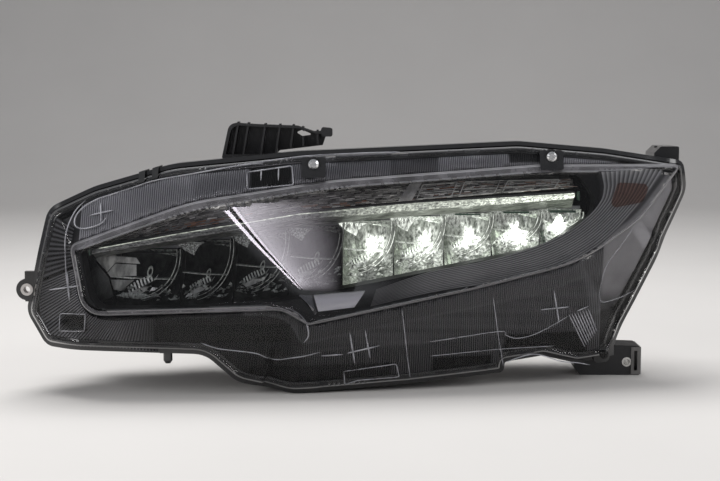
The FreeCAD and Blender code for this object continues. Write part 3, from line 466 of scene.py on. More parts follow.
FACE_CORNERS = np.array([p[:2] for p in FACE], float)


def shelf_y(x, z):
    """Y of the lower lens skin round the raised face: it falls away steeply at the ends."""
    x, z = np.asarray(x, float), np.asarray(z, float)
    points = np.stack([x.ravel(), z.ravel()], 1)
    d, away = nearest(FACE_CORNERS, points)
    d[inside(FACE_CORNERS, points)] = 0
    fall = 0.32 + np.where(away[:, 0] > 0, 0.80, 0.36) * away[:, 0] ** 2
    return face_y(x, z) + 5 + (d * fall).reshape(x.shape)


def outward(loop):
    """The outward direction at each point of a closed, evenly spaced outline."""
    after, before = np.roll(loop, -1, axis=0), np.roll(loop, 1, axis=0)
    run = after - before
    run /= np.hypot(*run.T)[:, None]
    total = np.sum(loop[:, 0] * after[:, 1] - after[:, 0] * loop[:, 1])
    return np.stack([run[:, 1], -run[:, 0]], 1) * (1 if total > 0 else -1)


def offset(loop, d):
    """The outline moved outwards by d: one distance, or one for each point."""
    return loop + outward(loop) * np.reshape(d, (-1, 1))


# ---------------------------------------------------------------- mesh building
def build(name, verts, faces, materials, slot=None, body="lamp_housing", replaces=(), indices=None,
          flat=False, tones=None, merge=0.0):
    """A named piece from points in millimetres. It rides on its body."""
    mesh = bpy.data.meshes.new(name)
    verts = (np.asarray(verts, float).reshape(-1, 3) + SHIFT) * MM
    mesh.from_pydata(verts.tolist(), [], [tuple(int(i) for i in f) for f in faces])
    for material in materials:
        mesh.materials.append(material)
    if indices is not None:
        mesh.polygons.foreach_set("material_index", np.asarray(indices, int))
    if tones is not None:
        for key, values in tones.items():
            attribute = mesh.attributes.new(key, "FLOAT", "POINT")
            attribute.data.foreach_set("value", np.asarray(values, np.float32))
    if merge:
        work = bmesh.new()
        work.from_mesh(mesh)
        bmesh.ops.remove_doubles(work, verts=work.verts, dist=merge * MM)
        work.to_mesh(mesh)
        work.free()
    mesh.polygons.foreach_set("use_smooth", [not flat] * len(mesh.polygons))
    mesh.update()
    made = bpy.data.objects.new(name, mesh)
    bpy.context.scene.collection.objects.link(made)
    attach(made, body)
    if replaces:
        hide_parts(*replaces)
    return made


class Shape:
    """Points and faces gathered for one piece."""

    def __init__(self):
        self.verts, self.faces, self.indices, self.tones = [], [], [], {}
        self.count = 0

    def add(self, verts, faces, index=0, **tones):
        verts = np.asarray(verts, float).reshape(-1, 3)
        self.verts.append(verts)
        self.faces += [tuple(i + self.count for i in f) for f in faces]
        self.indices += [index] * len(faces)
        for key, values in tones.items():
            spread_out = np.broadcast_to(np.asarray(values, float).ravel(), (len(verts),))
            self.tones.setdefault(key, []).append(spread_out)
        self.count += len(verts)

    def grid(self, p, index=0, wrap_rows=False, wrap_columns=False, **tones):
        """p is rows x columns x 3."""
        rows, columns = p.shape[:2]
        faces = []
        for i in range(rows if wrap_rows else rows - 1):
            for j in range(columns if wrap_columns else columns - 1):
                a, b = i * columns, ((i + 1) % rows) * columns
                k = (j + 1) % columns
                faces.append((a + j, a + k, b + k, b + j))
        self.add(p, faces, index, **{key: np.broadcast_to(np.asarray(v, float), (rows, columns)).ravel()
                                     for key, v in tones.items()})

    def make(self, name, materials, **settings):
        tones = {key: np.concatenate(values) for key, values in self.tones.items()} or None
        return build(name, np.vstack(self.verts), self.faces, materials, indices=self.indices, tones=tones,
                     **settings)


def fill(outer, holes, step, creases=()):
    """Points and triangles that fill an outline, apart from its holes. Edges follow the creases."""
    points, edges = [], []
    for loop in [outer, *holes, *creases]:
        start = len(points)
        points += [tuple(p) for p in loop]
        edges += [(start + i, start + (i + 1) % len(loop)) for i in range(len(loop))]
    low, high = outer.min(0), outer.max(0)
    rows = np.arange(low[1], high[1], step * 0.866)
    grid = np.array([(x, z) for k, z in enumerate(rows)
                     for x in np.arange(low[0] + (k % 2) * step / 2, high[0], step)])
    keep = inside(outer, grid)
    for hole in holes:
        keep &= ~inside(hole, grid)
    grid = grid[keep]
    far = np.full(len(grid), True)
    for loop in [outer, *holes, *creases]:
        far &= nearest(loop, grid)[0] > 0.6 * step
    points += [tuple(p) for p in grid[far]]
    made = delaunay_2d_cdt([Vector(p) for p in points], edges, [], 0, 1e-5)
    verts = np.array([tuple(v) for v in made[0]])
    faces = np.array(made[2])
    middle = verts[faces].mean(1)
    keep = inside(outer, middle)
    for hole in holes:
        keep &= ~inside(hole, middle)
    return verts, [tuple(f) for f in faces[keep]]


def lifted(points, y):
    """Flat points (x, z) given a depth."""
    return np.stack([points[..., 0], np.broadcast_to(y, points.shape[:-1]), points[..., 1]], -1)


def bead(shape, path, radius, depth, index=0, sides=7, flatten=0.7, **tones):
    """A rounded bead along a path (x, z), whose middle is depth(x, z)."""
    path = np.asarray(path, float)
    run = np.gradient(path, axis=0)
    run /= np.maximum(np.hypot(*run.T), 1e-9)[:, None]
    normal = np.stack([-run[:, 1], run[:, 0]], 1)
    taper = np.minimum(1, np.minimum(np.arange(len(path)), np.arange(len(path))[::-1]) / 2 + 0.25)
    angle = np.linspace(0, 2 * math.pi, sides, endpoint=False)
    across = (np.cos(angle)[None, :] * radius) * taper[:, None]
    flat = path[:, None, :] + across[..., None] * normal[:, None, :]
    y = depth(path[:, 0], path[:, 1])[:, None] - np.sin(angle)[None, :] * radius * flatten * taper[:, None]
    shape.grid(np.stack([flat[..., 0], y, flat[..., 1]], -1), index, wrap_columns=True, **tones)


# ---------------------------------------------------------------- outer lens
FACE_LOOP = rounded(FACE)
LENS_LOOP = rounded(inset(RIM, 5))


def ramp(value, start, end):
    """0 before start, 1 after end, and a smooth climb between them."""
    t = np.clip((value - start) / (end - start), 0, 1)
    return t * t * (3 - 2 * t)


def frost_width():
    """How wide the frosted band inside the raised face's edge is, at each point of the outline."""
    up = outward(FACE_LOOP)[:, 1]
    x = FACE_LOOP[:, 0]
    width = 4.0 + 2.5 * ramp(up, 0.2, 0.8)
    width = np.where((up < 0) & (x > -60), 2.2, width)
    return width + (2.2 - width) * ramp(x, 240, 310)


def make_lens():
    """Raised face, frosted band and shoulder, lower shelf and the skirt that goes into the housing."""
    shape = Shape()
    frosted = 1
    width = frost_width()
    inner = offset(FACE_LOOP, -width)
    verts, faces = fill(inner, [], 4.0)
    shape.add(lifted(verts, face_y(verts[:, 0], verts[:, 1])), faces)
    steps = [(0.62, 0.0), (0.30, 0.05), (-0.9, 0.12), (-0.35, 0.5), (0.0, 1.2), (0.3, 3.8), (0.7, 4.7),
             (1.4, 5.1)]
    rings = [lifted(inner, face_y(inner[:, 0], inner[:, 1]))]
    for out, depth in steps:
        loop = offset(FACE_LOOP, -width * out if depth < 0.1 else out)
        y = face_y(loop[:, 0], loop[:, 1]) + depth
        if out == 1.4:
            y = shelf_y(loop[:, 0], loop[:, 1])
        rings.append(lifted(loop, y))
    shape.grid(np.array(rings), frosted, wrap_columns=True)
    edge = offset(LENS_LOOP, -1.8)
    verts, faces = fill(edge, [offset(FACE_LOOP, 1.4)], 4.0)
    shape.add(lifted(verts, shelf_y(verts[:, 0], verts[:, 1])), faces)
    rings = []
    for out, depth in [(-1.8, 0), (-1.0, 0.15), (-0.3, 0.7), (0, 1.6), (0, 8), (0, 14)]:
        loop = offset(LENS_LOOP, out)
        rings.append(lifted(loop, shelf_y(loop[:, 0], loop[:, 1]) + depth))
    shape.grid(np.array(rings), 0, wrap_columns=True)
    shape.make("lens_shell", [LENS_CLEAR, LENS_FROSTED], slot="clear_lens", replaces=["outer_lens"],
               merge=0.05)


def make_border():
    """The black band behind the lens's outer edge, where the lens is welded to the housing."""
    shape = Shape()
    width = 7.4 - 4.6 * ramp(outward(LENS_LOOP)[:, 0], 0.55, 0.9)
    rings = []
    for share, depth in ((0.05, 3.2), (0.12, 2.4), (0.6, 2.2), (0.92, 2.5), (1.0, 3.4)):
        loop = offset(LENS_LOOP, -width * share)
        rings.append(lifted(loop, shelf_y(loop[:, 0], loop[:, 1]) + depth))
    shape.grid(np.array(rings), 0, wrap_columns=True)
    shape.make("lens_border", [BLACK_GLOSS], slot="black_plastic")


def upper(loop, x):
    """Z of the top of an outline at x."""
    x = np.atleast_1d(x)
    best = np.full(len(x), -1e9)
    for (ax, az), (bx, bz) in zip(loop, np.roll(loop, -1, axis=0)):
        if abs(bx - ax) > 1e-6:
            found = (min(ax, bx) <= x) & (x <= max(ax, bx))
            z = az + (bz - az) * (x - ax) / (bx - ax)
            best = np.where(found, np.maximum(best, z), best)
    return best


def lower(loop, x):
    """Z of the underside of an outline at x."""
    return -upper(loop * [1, -1], x)


S_RIDGE = smooth([(-262, 76), (-200, 79), (-154, 80), (-122, 82), (-88, 81), (-72, 75), (-64, 66), (-58, 55),
                  (-48, 54), (-22, 60), (40, 72), (110, 84), (180, 97), (225, 112)], 4)
WAVE = smooth([(-155, 55), (-139, 49), (-119, 46), (-101, 43), (-84, 38), (-62, 40), (-39, 45), (0, 48),
               (69, 50), (139, 58), (157, 52), (175, 54), (196, 63), (214, 72)], 4)


def signed_side(path, points):
    """Distance to an open curve that runs left to right: positive above it."""
    d, away = nearest(path, points, closed=False)
    return np.where(points[:, 1] > np.interp(points[:, 0], path[:, 0], path[:, 1]), d, -d)


def body_tone(x, z):
    """How light the trim under the raised face is, from 0 to 1."""
    points = np.stack([np.ravel(x), np.ravel(z)], 1)
    ledge, wave = (signed_side(path, points).reshape(np.shape(x)) for path in (S_RIDGE, WAVE))
    streaks = 0.5 + 0.5 * np.sin(z * 0.55 + x * 0.03) * np.sin(z * 0.21 + 1)
    tone = 0.02 + (0.06 + 0.20 * streaks) * ramp(x, -70, 10)
    tone = np.where((ledge > 0) & (x > -60), 0.12 + 0.22 * ramp(x, 40, 160), tone)
    tone = np.where((ledge > 0) & (x < -60), 0.30 * ramp(x, -200, -120), tone)
    tone = np.where(wave < 0, 0.08 - 0.05 * ramp(-wave, 0, 5), tone)
    near = np.exp(-(ledge / 1.1) ** 2) + 0.7 * np.exp(-(wave / 0.9) ** 2)
    return tone + 0.15 * near * ramp(x, -200, -120)


# Sunk pockets in the trim, painted dark as shade: x0, x1, z0, z1 and how dark the painted shade is.
SHADED_POCKETS = [(-30, 30, 211, 236, 0.25), (30, 78, 211, 236, 0.55), (-108, -67, 203, 224, 0.97),
                (150, 196, 226, 245, 0.9), (212, 243, 176, 220, 0.9), (-292, -264, 66, 84, 1.0),
                (146, 232, 15, 55, 0.97), (72, 132, 7, 34, 0.97), (-200, -68, 54, 73, 0.9),
                (-110, 30, 6, 30, 0.7)]


def pocket_share(x, z):
    """How deep in a pocket each point is, from 0 to 1: it sets the surface back and paints shade there."""
    sunk_and_shaded = 0
    for x0, x1, z0, z1, dark in SHADED_POCKETS:
        across = dark * ramp(x, x0 - 2, x0 + 2) * ramp(-x, -x1 - 2, -x1 + 2)
        sunk_and_shaded = np.maximum(sunk_and_shaded, across * ramp(z, z0 - 2, z0 + 2) * ramp(-z, -z1 - 2, -z1 + 2))
    return sunk_and_shaded


def fluted(shape, a, b, count, low, high, amplitude=0.45, depth=3.6, rows=7, per=6, base=0.0):
    """Ridges from polyline a to polyline b, behind the lens skin. Their grey runs from low in the grooves to
    high on the crests: painted light, standing in for the light each clear ridge catches.
    """
    n = count * per + 1
    ta = resample_to(a, n)
    tb = resample_to(b, n)
    s = np.linspace(0, 1, rows)[:, None, None]
    flat = ta[None] * (1 - s) + tb[None] * s
    ridge = np.abs(np.sin(np.arange(n) / per * math.pi))[None, :] ** 0.8
    y = shelf_y(flat[..., 0], flat[..., 1]) + depth - amplitude * ridge * 2
    high = np.interp(flat[..., 0], *np.array(high).T) if isinstance(high, list) else high
    grey = low + (high - low) * ridge ** 3 + base * body_tone(flat[..., 0], flat[..., 1])
    # Painted shade: flutes over the pockets are set back and painted dark.
    sunk_and_shaded = pocket_share(flat[..., 0], flat[..., 1])
    shape.grid(np.stack([flat[..., 0], y + 3 * sunk_and_shaded, flat[..., 1]], -1), 0, grey=grey * (1 - sunk_and_shaded))


def resample_to(path, n):
    path = np.asarray(path, float)
    length = np.concatenate([[0], np.cumsum(np.hypot(*np.diff(path, axis=0).T))])
    at = np.linspace(0, length[-1], n)
    return np.stack([np.interp(at, length, path[:, 0]), np.interp(at, length, path[:, 1])], 1)


def make_flutes():
    """The fine ridges moulded into the back of the lens shelf, which scatter light. They are drawn opaque,
    and the light they scatter is painted into their grey.
    """
    shape = Shape()
    x = np.linspace(-272, 300, 300)
    band_low = np.stack([x, upper(FACE_LOOP, x) + 1.5], 1)
    band_high = np.stack([x, upper(LENS_LOOP, x) - 6.5], 1)
    fluted(shape, band_low, band_high, 262, 0.32, [(80, 1.0), (160, 0.85), (300, 0.7)], rows=12)
    x = np.linspace(-196, 246, 300)
    low = np.stack([x, lower(LENS_LOOP, x) + 7.0], 1)
    high = np.stack([x, lower(FACE_LOOP, x) - 1.5], 1)
    fluted(shape, low, high, 206, 0.0, [(-196, 0.02), (-70, 0.03), (-50, 0.12), (20, 0.16), (246, 0.24)],
           rows=40, amplitude=0.38, base=0.26)
    corner_in = smooth([(-276, 128), (-273, 105), (-268, 92), (-258, 82), (-243, 78), (-220, 78), (-197, 79)])
    corner_out = smooth([(-312, 112), (-316, 90), (-312, 70), (-300, 57), (-275, 52), (-235, 50), (-197, 46)])
    corner_greys = [(-316, 0.14), (-290, 0.26), (-235, 0.40), (-197, 0.06)]
    fluted(shape, corner_in, corner_out, 52, 0.0, corner_greys, rows=8)
    side_in = smooth([(-277, 166), (-279, 150), (-276, 130)])
    side_out = smooth([(-304, 180), (-310, 150), (-313, 114)])
    fluted(shape, side_in, side_out, 12, 0.0, 0.16, rows=6)
    shape.make("lens_flutes", [FLUTE_PAINTED_LIGHT], slot="grey_trim")


def make_lens_lines():
    """Thin moulded ridges and crosses on the lens."""
    shape = Shape()

    def line(points, radius=0.55, curve=True, lift=0.0):
        path = smooth(points, 3.0) if curve else resample(np.array(points, float), 3.0)
        bead(shape, path, radius, lambda x, z: shelf_y(x, z) - lift, 0)

    line([(-94, 228), (-121, 225), (-162, 218), (-201, 211), (-223, 204), (-242, 198), (-257, 193),
          (-269, 186), (-276, 178), (-277, 170), (-272, 166), (-262, 166.5), (-250, 171), (-246, 177)], 0.75)
    line([(-281, 96), (-284, 120), (-285, 142), (-285, 158), (-282, 172), (-276, 184), (-268, 192)], 0.6)
    line([(-273, 146), (-247, 161), (-220, 171)], 0.6)
    line([(-157, 219), (-110, 227), (-58, 234), (0, 237), (40, 238)], 0.6)
    for pair in ([(-283, 124), (-281, 98)], [(-304, 105), (-270, 112)], [(-263, 178), (-240, 183)],
                 [(-251, 172), (-253, 190)], [(194, 100), (201, 66)], [(181, 80), (211, 82)],
                 [(219, 77), (232, 82)], [(-97, 222), (-97, 211)], [(-80, 224), (-80, 211)],
                 [(-10, 63), (-5, 30)], [(5, 65), (10, 36)], [(-13, 42), (20, 49)], [(-38, 40), (-17, 41)]):
        line(pair, 0.8, False)
    frame = [(-111, 219), (-67, 225), (-65, 207), (-110, 203), (-111, 219)]
    line(frame, 0.7, False)
    line([(41, 86), (44, 62), (47, 36), (50, 14)], 0.45, False)
    line([(-16, 23), (36, 29), (39, 15), (-2, 13), (-15, 9), (-16, 23)], 0.5, False)
    line([(247, 115), (244, 97), (247, 84), (267, 87), (284, 94)], 0.4)
    line([(276, 160), (264, 143), (251, 126), (246, 112)], 0.5)
    for share in np.linspace(0, 1, 8):          # the fan beside the screw boss
        line([(211 + 20 * share, 74 + 5 * share), (230 + 12 * share, 38 + 16 * share)], 0.6, False)
    line([(-155, 55), (-139, 49), (-119, 46), (-101, 43), (-84, 36), (-62, 39), (-39, 44)], 0.5)
    line([(-154, 87), (-105, 89), (-75, 89), (-62, 85), (-53, 76), (-50, 62), (-55, 54)], 0.6)
    line([(69, 51), (139, 59), (146, 55), (157, 51), (175, 54), (196, 64), (210, 72)], 0.5)
    line([(70, 36), (136, 40), (197, 41)], 0.4)
    line([(147, 26), (176, 33), (205, 24), (224, 21), (237, 18)], 0.6)
    line([(132, 95), (138, 57), (145, 22)], 0.4, False)
    line([(-293, 66), (-292, 83), (-264, 85), (-266, 68), (-293, 66)], 0.4, False)
    shape.make("lens_lines", [LENS_LINE], slot="clear_lens")


# ---------------------------------------------------------------- inner trim
OPEN_LOOP = rounded(OPENING)
TRIM_LOOP = rounded(inset(RIM, 17))
def make_trim():
    """The grey and black trim behind the lens: stepped ledges, sunk pockets painted dark as shade, the
    outboard side wall painted light, and the throat of the opening.
    """
    shape = Shape()
    face_in = rounded(inset(FACE, 5))
    verts, faces = fill(TRIM_LOOP, [OPEN_LOOP], 3.0, [rounded(inset(FACE, 5.5)), rounded(inset(FACE, 2.5))])
    x, z = verts[:, 0], verts[:, 1]
    in_face = inside(face_in, verts)
    edge, _ = nearest(face_in, verts)
    signed = np.where(in_face, -edge, edge)
    front = face_y(x, z) + 12
    low = shelf_y(x, z) + 9
    ledge = signed_side(S_RIDGE, verts)
    wave = signed_side(WAVE, verts)
    below = z < 130
    low = low + np.where(below, 2.2 * ramp(-ledge, -1.5, 1.5) + 2.6 * ramp(-wave, -1.5, 1.5), 0)
    y = front + (low - front) * ramp(signed, -0.5, 2.5)
    outboard = ramp(x, 236, 252)
    grey = np.full(len(verts), 0.60) * ramp(x, -300, -262) + 0.02
    grey = np.where(in_face, 0.10 + 0.35 * ramp(x, 225, 262) + 0.12 * ramp(x, 60, 140) * (z < 175), grey)
    grey = np.where(~in_face & below, body_tone(x, z), grey)
    grey = grey * 0.40
    # Painted light: the outboard side wall is painted much lighter, rising from z 72 to 100, standing in for
    # the light that falls on it from the right.
    grey = np.where(~in_face, grey + (0.90 - grey) * outboard * ramp(z, 72, 100), grey)
    # Painted shade: the pockets are set back and painted dark.
    sunk_and_shaded = pocket_share(x, z)
    grey = grey * (1 - sunk_and_shaded)
    y = y + 5 * sunk_and_shaded
    shape.add(lifted(verts, y), faces, 0, grey=grey)
    throat = [lifted(OPEN_LOOP, face_y(OPEN_LOOP[:, 0], OPEN_LOOP[:, 1]) + d) for d in (12, 14, 26, 38)]
    shape.grid(np.array(throat), 0, wrap_columns=True, grey=0.02)
    shape.make("trim_panel", [TRIM_PANEL], slot="grey_trim", replaces=["inner_trim"], merge=0.05)


def make_trim_ridges():
    """The stack of fine parallel ridges that sweeps under the lamps and up the outboard end of the trim."""
    shape = Shape()
    outer = smooth([(10, 88), (68, 100), (137, 110), (175, 116), (207, 125), (237, 141), (258, 157),
                    (277, 176), (296, 197), (313, 219)], 2.2)
    inner = smooth([(16, 105), (69, 121), (121, 130), (166, 141), (201, 154), (228, 171), (243, 187),
                    (247, 200), (246, 210), (244, 220)], 2.2)
    n = 300
    a, b = resample_to(outer, n), resample_to(inner, n)
    ridges, per = 13, 5
    s = np.linspace(0, 1, ridges * per + 1)[:, None, None]
    flat = a[None] * (1 - s) + b[None] * s
    phase = np.arange(ridges * per + 1) / per
    saw = (phase % 1.0)[:, None]
    teeth = 0.12 * (np.arange(n) % 2)[None, :]
    y = face_y(flat[..., 0], flat[..., 1]) + 11.6 - 0.9 * saw ** 0.7 + teeth * (saw > 0.5)
    fade = 0.35 + 0.65 * ramp(np.arange(n), 10, 70)[None, :]
    # Painted shade and painted highlight: each ridge is painted dark in its groove and light at its crest.
    # The stack is also darker towards its inboard end.
    shape.grid(np.stack([flat[..., 0], y, flat[..., 1]], -1), 0, grey=(0.10 + 0.75 * saw ** 1.5) * fade)
    shape.make("trim_ridges", [RIDGE_GREY], slot="grey_trim")


def make_blade():
    """The bright blade, with the dark prism beside it."""
    shape = Shape()
    blade = np.array([(-45, 100.5), (5, 104), (-5.5, 88.5), (-40.5, 85)], float)
    corners = lifted(blade, face_y(blade[:, 0], blade[:, 1]) + 6)
    t = np.linspace(0, 1, 14)[None, :, None]
    s = np.linspace(0, 1, 8)[:, None, None]
    flat = (corners[3] * (1 - t) + corners[2] * t) * (1 - s) + (corners[0] * (1 - t) + corners[1] * t) * s
    flat[..., 1] -= 1.6 * np.sin(s[..., 0] * math.pi) * np.ones_like(t[..., 0])
    shape.grid(flat, 0)
    rim = [np.vstack([flat[0], flat[:, -1], flat[-1][::-1], flat[::-1, 0]])]
    rim.append(rim[0] + [0, 6, 0])
    shape.grid(np.array(rim), 0, wrap_columns=True)
    shape.make("blade_bright", [BLADE_SILVER], slot="bright_reflector", replaces=["accent_blade"])
    prism = Shape()
    tip = [(-60, 101), (-46, 100.5), (-41, 84), (-44, 81.5)]
    tip = lifted(np.array(tip, float), face_y(-50, 95) + 8.5)
    mid = np.array([tip[0], tip[1], tip[2], tip[3]])
    ridge = (tip[0] + tip[2]) / 2 + [0, -3.0, 0]
    prism.add(np.vstack([mid, ridge[None]]), [(0, 1, 4), (1, 2, 4), (2, 3, 4), (3, 0, 4)])
    prism.make("blade_prism", [CHROME_DARK], slot="bright_reflector", flat=True)


# ---------------------------------------------------------------- lamp cells
def cell_top(x):
    return 168.5 + 0.085 * x - 0.00018 * x ** 2


def cell_bottom(x):
    return max(87.0, 89.5 + 0.17 * (x + 126)) + max(0.0, x - 180) * 0.25


def cells():
    made = []
    for x0, x1 in zip(CELL_EDGES, CELL_EDGES[1:]):
        xc = (x0 + x1) / 2
        front = face_y(xc, 130) + CELL_FRONT
        top, bottom = cell_top(xc) - 2, cell_bottom(xc) + 2
        reach = math.hypot((x1 - x0) / 2, top - bottom)
        vertex = front + reach ** 2 / (4 * CELL_FOCUS)
        made.append(dict(x0=x0, x1=x1, xc=xc, front=front, vertex=vertex, top=top, bottom=bottom,
                         axis=top - 3.2))
    return made


# Painted hot spots of the lit cells' glow: x, z, size and squash.
HOT = [(15, 142.5, 5.2, 1.0), (68, 146.5, 3.0, 0.5), (115, 151, 3.8, 0.8), (162, 152, 5.2, 1.0),
       (205, 161, 3.4, 0.6)]


def glow(points, number):
    """How strongly a lit cell shines at each point, as painted light on its chrome: a hot core, a wide
    falloff and two fine rays.
    """
    if number < LIT_FROM:
        return np.zeros(points.shape[:-1])
    hx, hz, size, squash = HOT[number - LIT_FROM]
    dx, dz = points[..., 0] - hx, points[..., 2] - hz
    d = np.hypot(dx, dz * squash)
    rays = np.exp(-(dx / 1.6) ** 2 - (dz / 16) ** 2) + np.exp(-((dx + 0.8 * dz) / 1.8) ** 2 - (dz / 12) ** 2)
    return 10.0 * np.exp(-(d / size) ** 2) + 0.55 * np.exp(-(d / 14.0) ** 2) + 0.6 * rays + 0.08


def bowl_y(c, x, z):
    return c["vertex"] - ((x - c["xc"]) ** 2 + (z - c["axis"]) ** 2) / (4 * CELL_FOCUS)


def fill_down(c, x):
    """Z of a cell's underside, which follows the opening's lower edge and stays hidden behind it."""
    return np.minimum(c["bottom"], lower(OPEN_LOOP, x) - 5.0)


def add_bowl(shape, c, number):
    """Vertical facets, with a step between the upper and the lower half."""
    columns, rows = 41, 31
    u = np.linspace(0, 1, columns)[None, :]
    v = np.linspace(0, 1, rows)[:, None]
    x = c["x0"] + 0.6 + (c["x1"] - c["x0"] - 1.2) * u + 0 * v
    foot = fill_down(c, x[0])[None, :]
    z = foot + (c["axis"] - foot) * v
    share = (u * 6 + v * 0.8) % 1.0
    facet = 0.8 * np.abs(share - 0.5) * 2
    y = bowl_y(c, x, z) - facet - 1.6 * (v < 0.42) * (1 - v)
    p = np.stack([x, y, z], -1)
    pick = np.array([0.45, 1.5, 0.7, 1.1, 0.35, 1.3, 0.8])[np.floor(u * 6 + v * 0.8).astype(int)]
    shape.grid(p, 0, glow=glow(p, number) * pick * np.where(v < 0.42, 1.25, 0.8))


def fin_arc(c, count=30):
    """The fin's edge: most of a quarter ellipse from the top outboard corner down and inwards."""
    wide, tall = c["x1"] - c["x0"], c["axis"] - c["bottom"]
    angle = np.linspace(math.radians(6), math.radians(-80), count)
    rx, rz = min(46, wide * 0.84), tall * 0.98
    middle = np.array([c["x1"] - rx + 1.0, c["axis"]])
    away = np.stack([np.cos(angle), np.sin(angle)], 1)
    return middle, np.array([rx, rz]), away


def add_fin(shape, c, number, bright):
    """Two thin curved fins, one inside the other, that stand out of the bowl."""
    middle, radii, away = fin_arc(c)
    for shift, lean in ((0.0, 0.0), (3.4, 1.6)):
        line = middle + away * (radii - shift)
        front = c["front"] + 1.0 + lean
        deep = np.maximum(bowl_y(c, line[:, 0], line[:, 1]), front + 3)
        wall = np.array([lifted(line, deep), lifted(line, front), lifted(line + away * 1.1, front - 0.5),
                         lifted(line + away * 1.1, deep)])
        shape.grid(wall, 0, glow=glow(wall, number) * 0.55)
        edge = np.array([lifted(line + away * d, front - 0.7) for d in (-0.1, 0.25, 0.6)])
        edge_glow = glow(edge, number) * 1.3 + (0.30 if number >= LIT_FROM else 0)
        shape.grid(edge, bright if number >= LIT_FROM else 2, glow=edge_glow)


def add_shoe(shape, c, number, bright):
    """The stepped wedge at the foot of the fin: slanted bars that rise outboard over a facetted toe."""
    wide, tall = c["x1"] - c["x0"], c["axis"] - c["bottom"]
    bars = 8
    size = wide / 54
    start = np.array([c["x0"] + 0.20 * wide, c["bottom"] + 0.17 * tall])
    run, rise = np.array([2.75, 1.35]) * size, np.array([-2.3, 6.2]) * size
    y = c["front"] + 6
    lit = 0.30 if number >= LIT_FROM else 0.0
    for k in range(bars):
        grow = 0.75 + 0.25 * math.sin(math.pi * (k + 0.5) / bars)
        a = start + run * k
        corners = np.array([a, a + run * 0.5, a + run * 0.5 + rise * grow, a + rise * grow])
        face = lifted(corners, y + np.array([0.0, 0.5, 2.4, 1.9]))
        shape.add(face, [(0, 1, 2, 3)], bright, glow=glow(face, number) * 1.4 + lit)
        gap = lifted(np.array([corners[1], corners[1] + run * 0.5, corners[2] + run * 0.5, corners[2]]),
                     y + np.array([0.5, 2.4, 4.3, 2.4]))
        shape.add(gap, [(0, 1, 2, 3)], 0, glow=glow(gap, number) * 0.4)
    toe = np.array([start - run * 0.6, start + run * bars, start + run * (bars + 1.4) + rise * 0.5,
                    start + run * bars * 0.5 - rise * 0.75, start - rise * 0.55])
    face = lifted(toe, y + np.array([0.5, 1.5, 3.0, -0.5, 0.0]))
    shape.add(face, [(0, 1, 3, 4), (1, 2, 3)], 3, glow=glow(face, number) * 0.9 + lit * 0.5)
    drop = start + run * (bars - 0.5) + rise * 1.25
    angle = np.linspace(0, 2 * math.pi, 13)[:-1]
    ring = np.stack([drop[0] + 2.4 * size * np.cos(angle) + 1.2 * np.sin(angle),
                     drop[1] + 5.2 * size * np.sin(angle)], 1)
    outer = lifted(ring, y + 2.0)
    inner = lifted(drop + (ring - drop) * 0.55, y + 3.4)
    rim = np.array([outer, inner])
    shape.grid(rim, bright, wrap_columns=True, glow=glow(rim, number) + lit)


def add_rail(shape, c, number, bright):
    """The thin shelf that crosses the cell at mid height, with a bright front edge."""
    z = c["bottom"] + 0.46 * (c["axis"] - c["bottom"])
    middle = c["x0"] + 0.45 * (c["x1"] - c["x0"])
    path = np.array([(c["x0"] + 2, z + 2.2), (middle, z), (c["x1"] - 5, z - 0.6)])
    rows = []
    for dz, dy in ((-0.5, 9.2), (-0.4, 8.0), (0.45, 8.0), (0.6, 9.2), (0.6, 16)):
        rows.append(lifted(resample_to(path, 16) + [0, dz], c["front"] + dy))
    p = np.array(rows)
    shape.grid(p, bright, glow=glow(p, number) + (0.16 if number >= LIT_FROM else 0))


def add_shards(shape, c, number, rng):
    """Small facets along the foot of the cell, each tilted its own way."""
    wide = c["x1"] - c["x0"]
    lit = number >= LIT_FROM
    count = 34
    for k in range(count):
        x = c["x0"] + wide * (k + rng.uniform(0, 1)) / count
        low = float(fill_down(c, np.array([x]))[0]) + 5.0
        z = low + rng.uniform(0.5, 0.30 * (c["axis"] - low))
        long, tall = rng.uniform(3.0, 9.5), rng.uniform(1.0, 3.4)
        lean = rng.uniform(-0.2, 0.75)
        tip = np.array([long, lean * long])
        corners = np.array([(x, z), (x + tip[0] * 0.7, z + tip[1] * 0.4), (x + tip[0], z + tip[1]),
                            (x + tip[0] * 0.35, z + tip[1] * 0.5 + tall)])
        corners[:, 0] = np.clip(corners[:, 0], c["x0"] + 0.8, c["x1"] - 0.8)
        y = c["front"] + rng.uniform(3, 7) + rng.uniform(-2.4, 2.4, 4)
        face = lifted(corners, y)
        shape.add(face, [(0, 1, 2, 3)], 2 if k % 3 else 1, glow=glow(face, number) * rng.uniform(0.3, 1.6)
                  + (rng.uniform(0.0, 0.55) if lit else 0))


def add_brow(shape, c, number):
    """The knurled roof over the cell."""
    wide = c["x1"] - c["x0"]
    columns, rows = 2 * int(wide / 1.5) + 1, 15
    u = np.linspace(0, 1, columns)[None, :]
    v = np.linspace(0, 1, rows)[:, None]
    x = c["x0"] + 0.6 + (wide - 1.2) * u + 0 * v
    z = c["axis"] + 4.5 - 7.0 * u ** 2 * (1 - v) - 2.5 * (1 - v)
    y = c["front"] + 2 + 13 * (1 - v) + 0 * u
    knurl = 0.45 * ((np.arange(columns)[None, :] + np.arange(rows)[:, None]) % 2)
    p = np.stack([x, y - knurl, z + knurl * 0.4], -1)
    base = (0.10, 0.38, 0.22, 0.14, 0.10)[number - LIT_FROM] if number >= LIT_FROM else 0.0
    shape.grid(p, 2, glow=(glow(p, number) * 0.35 + base) * (0.35 + 1.3 * (knurl > 0.1)))


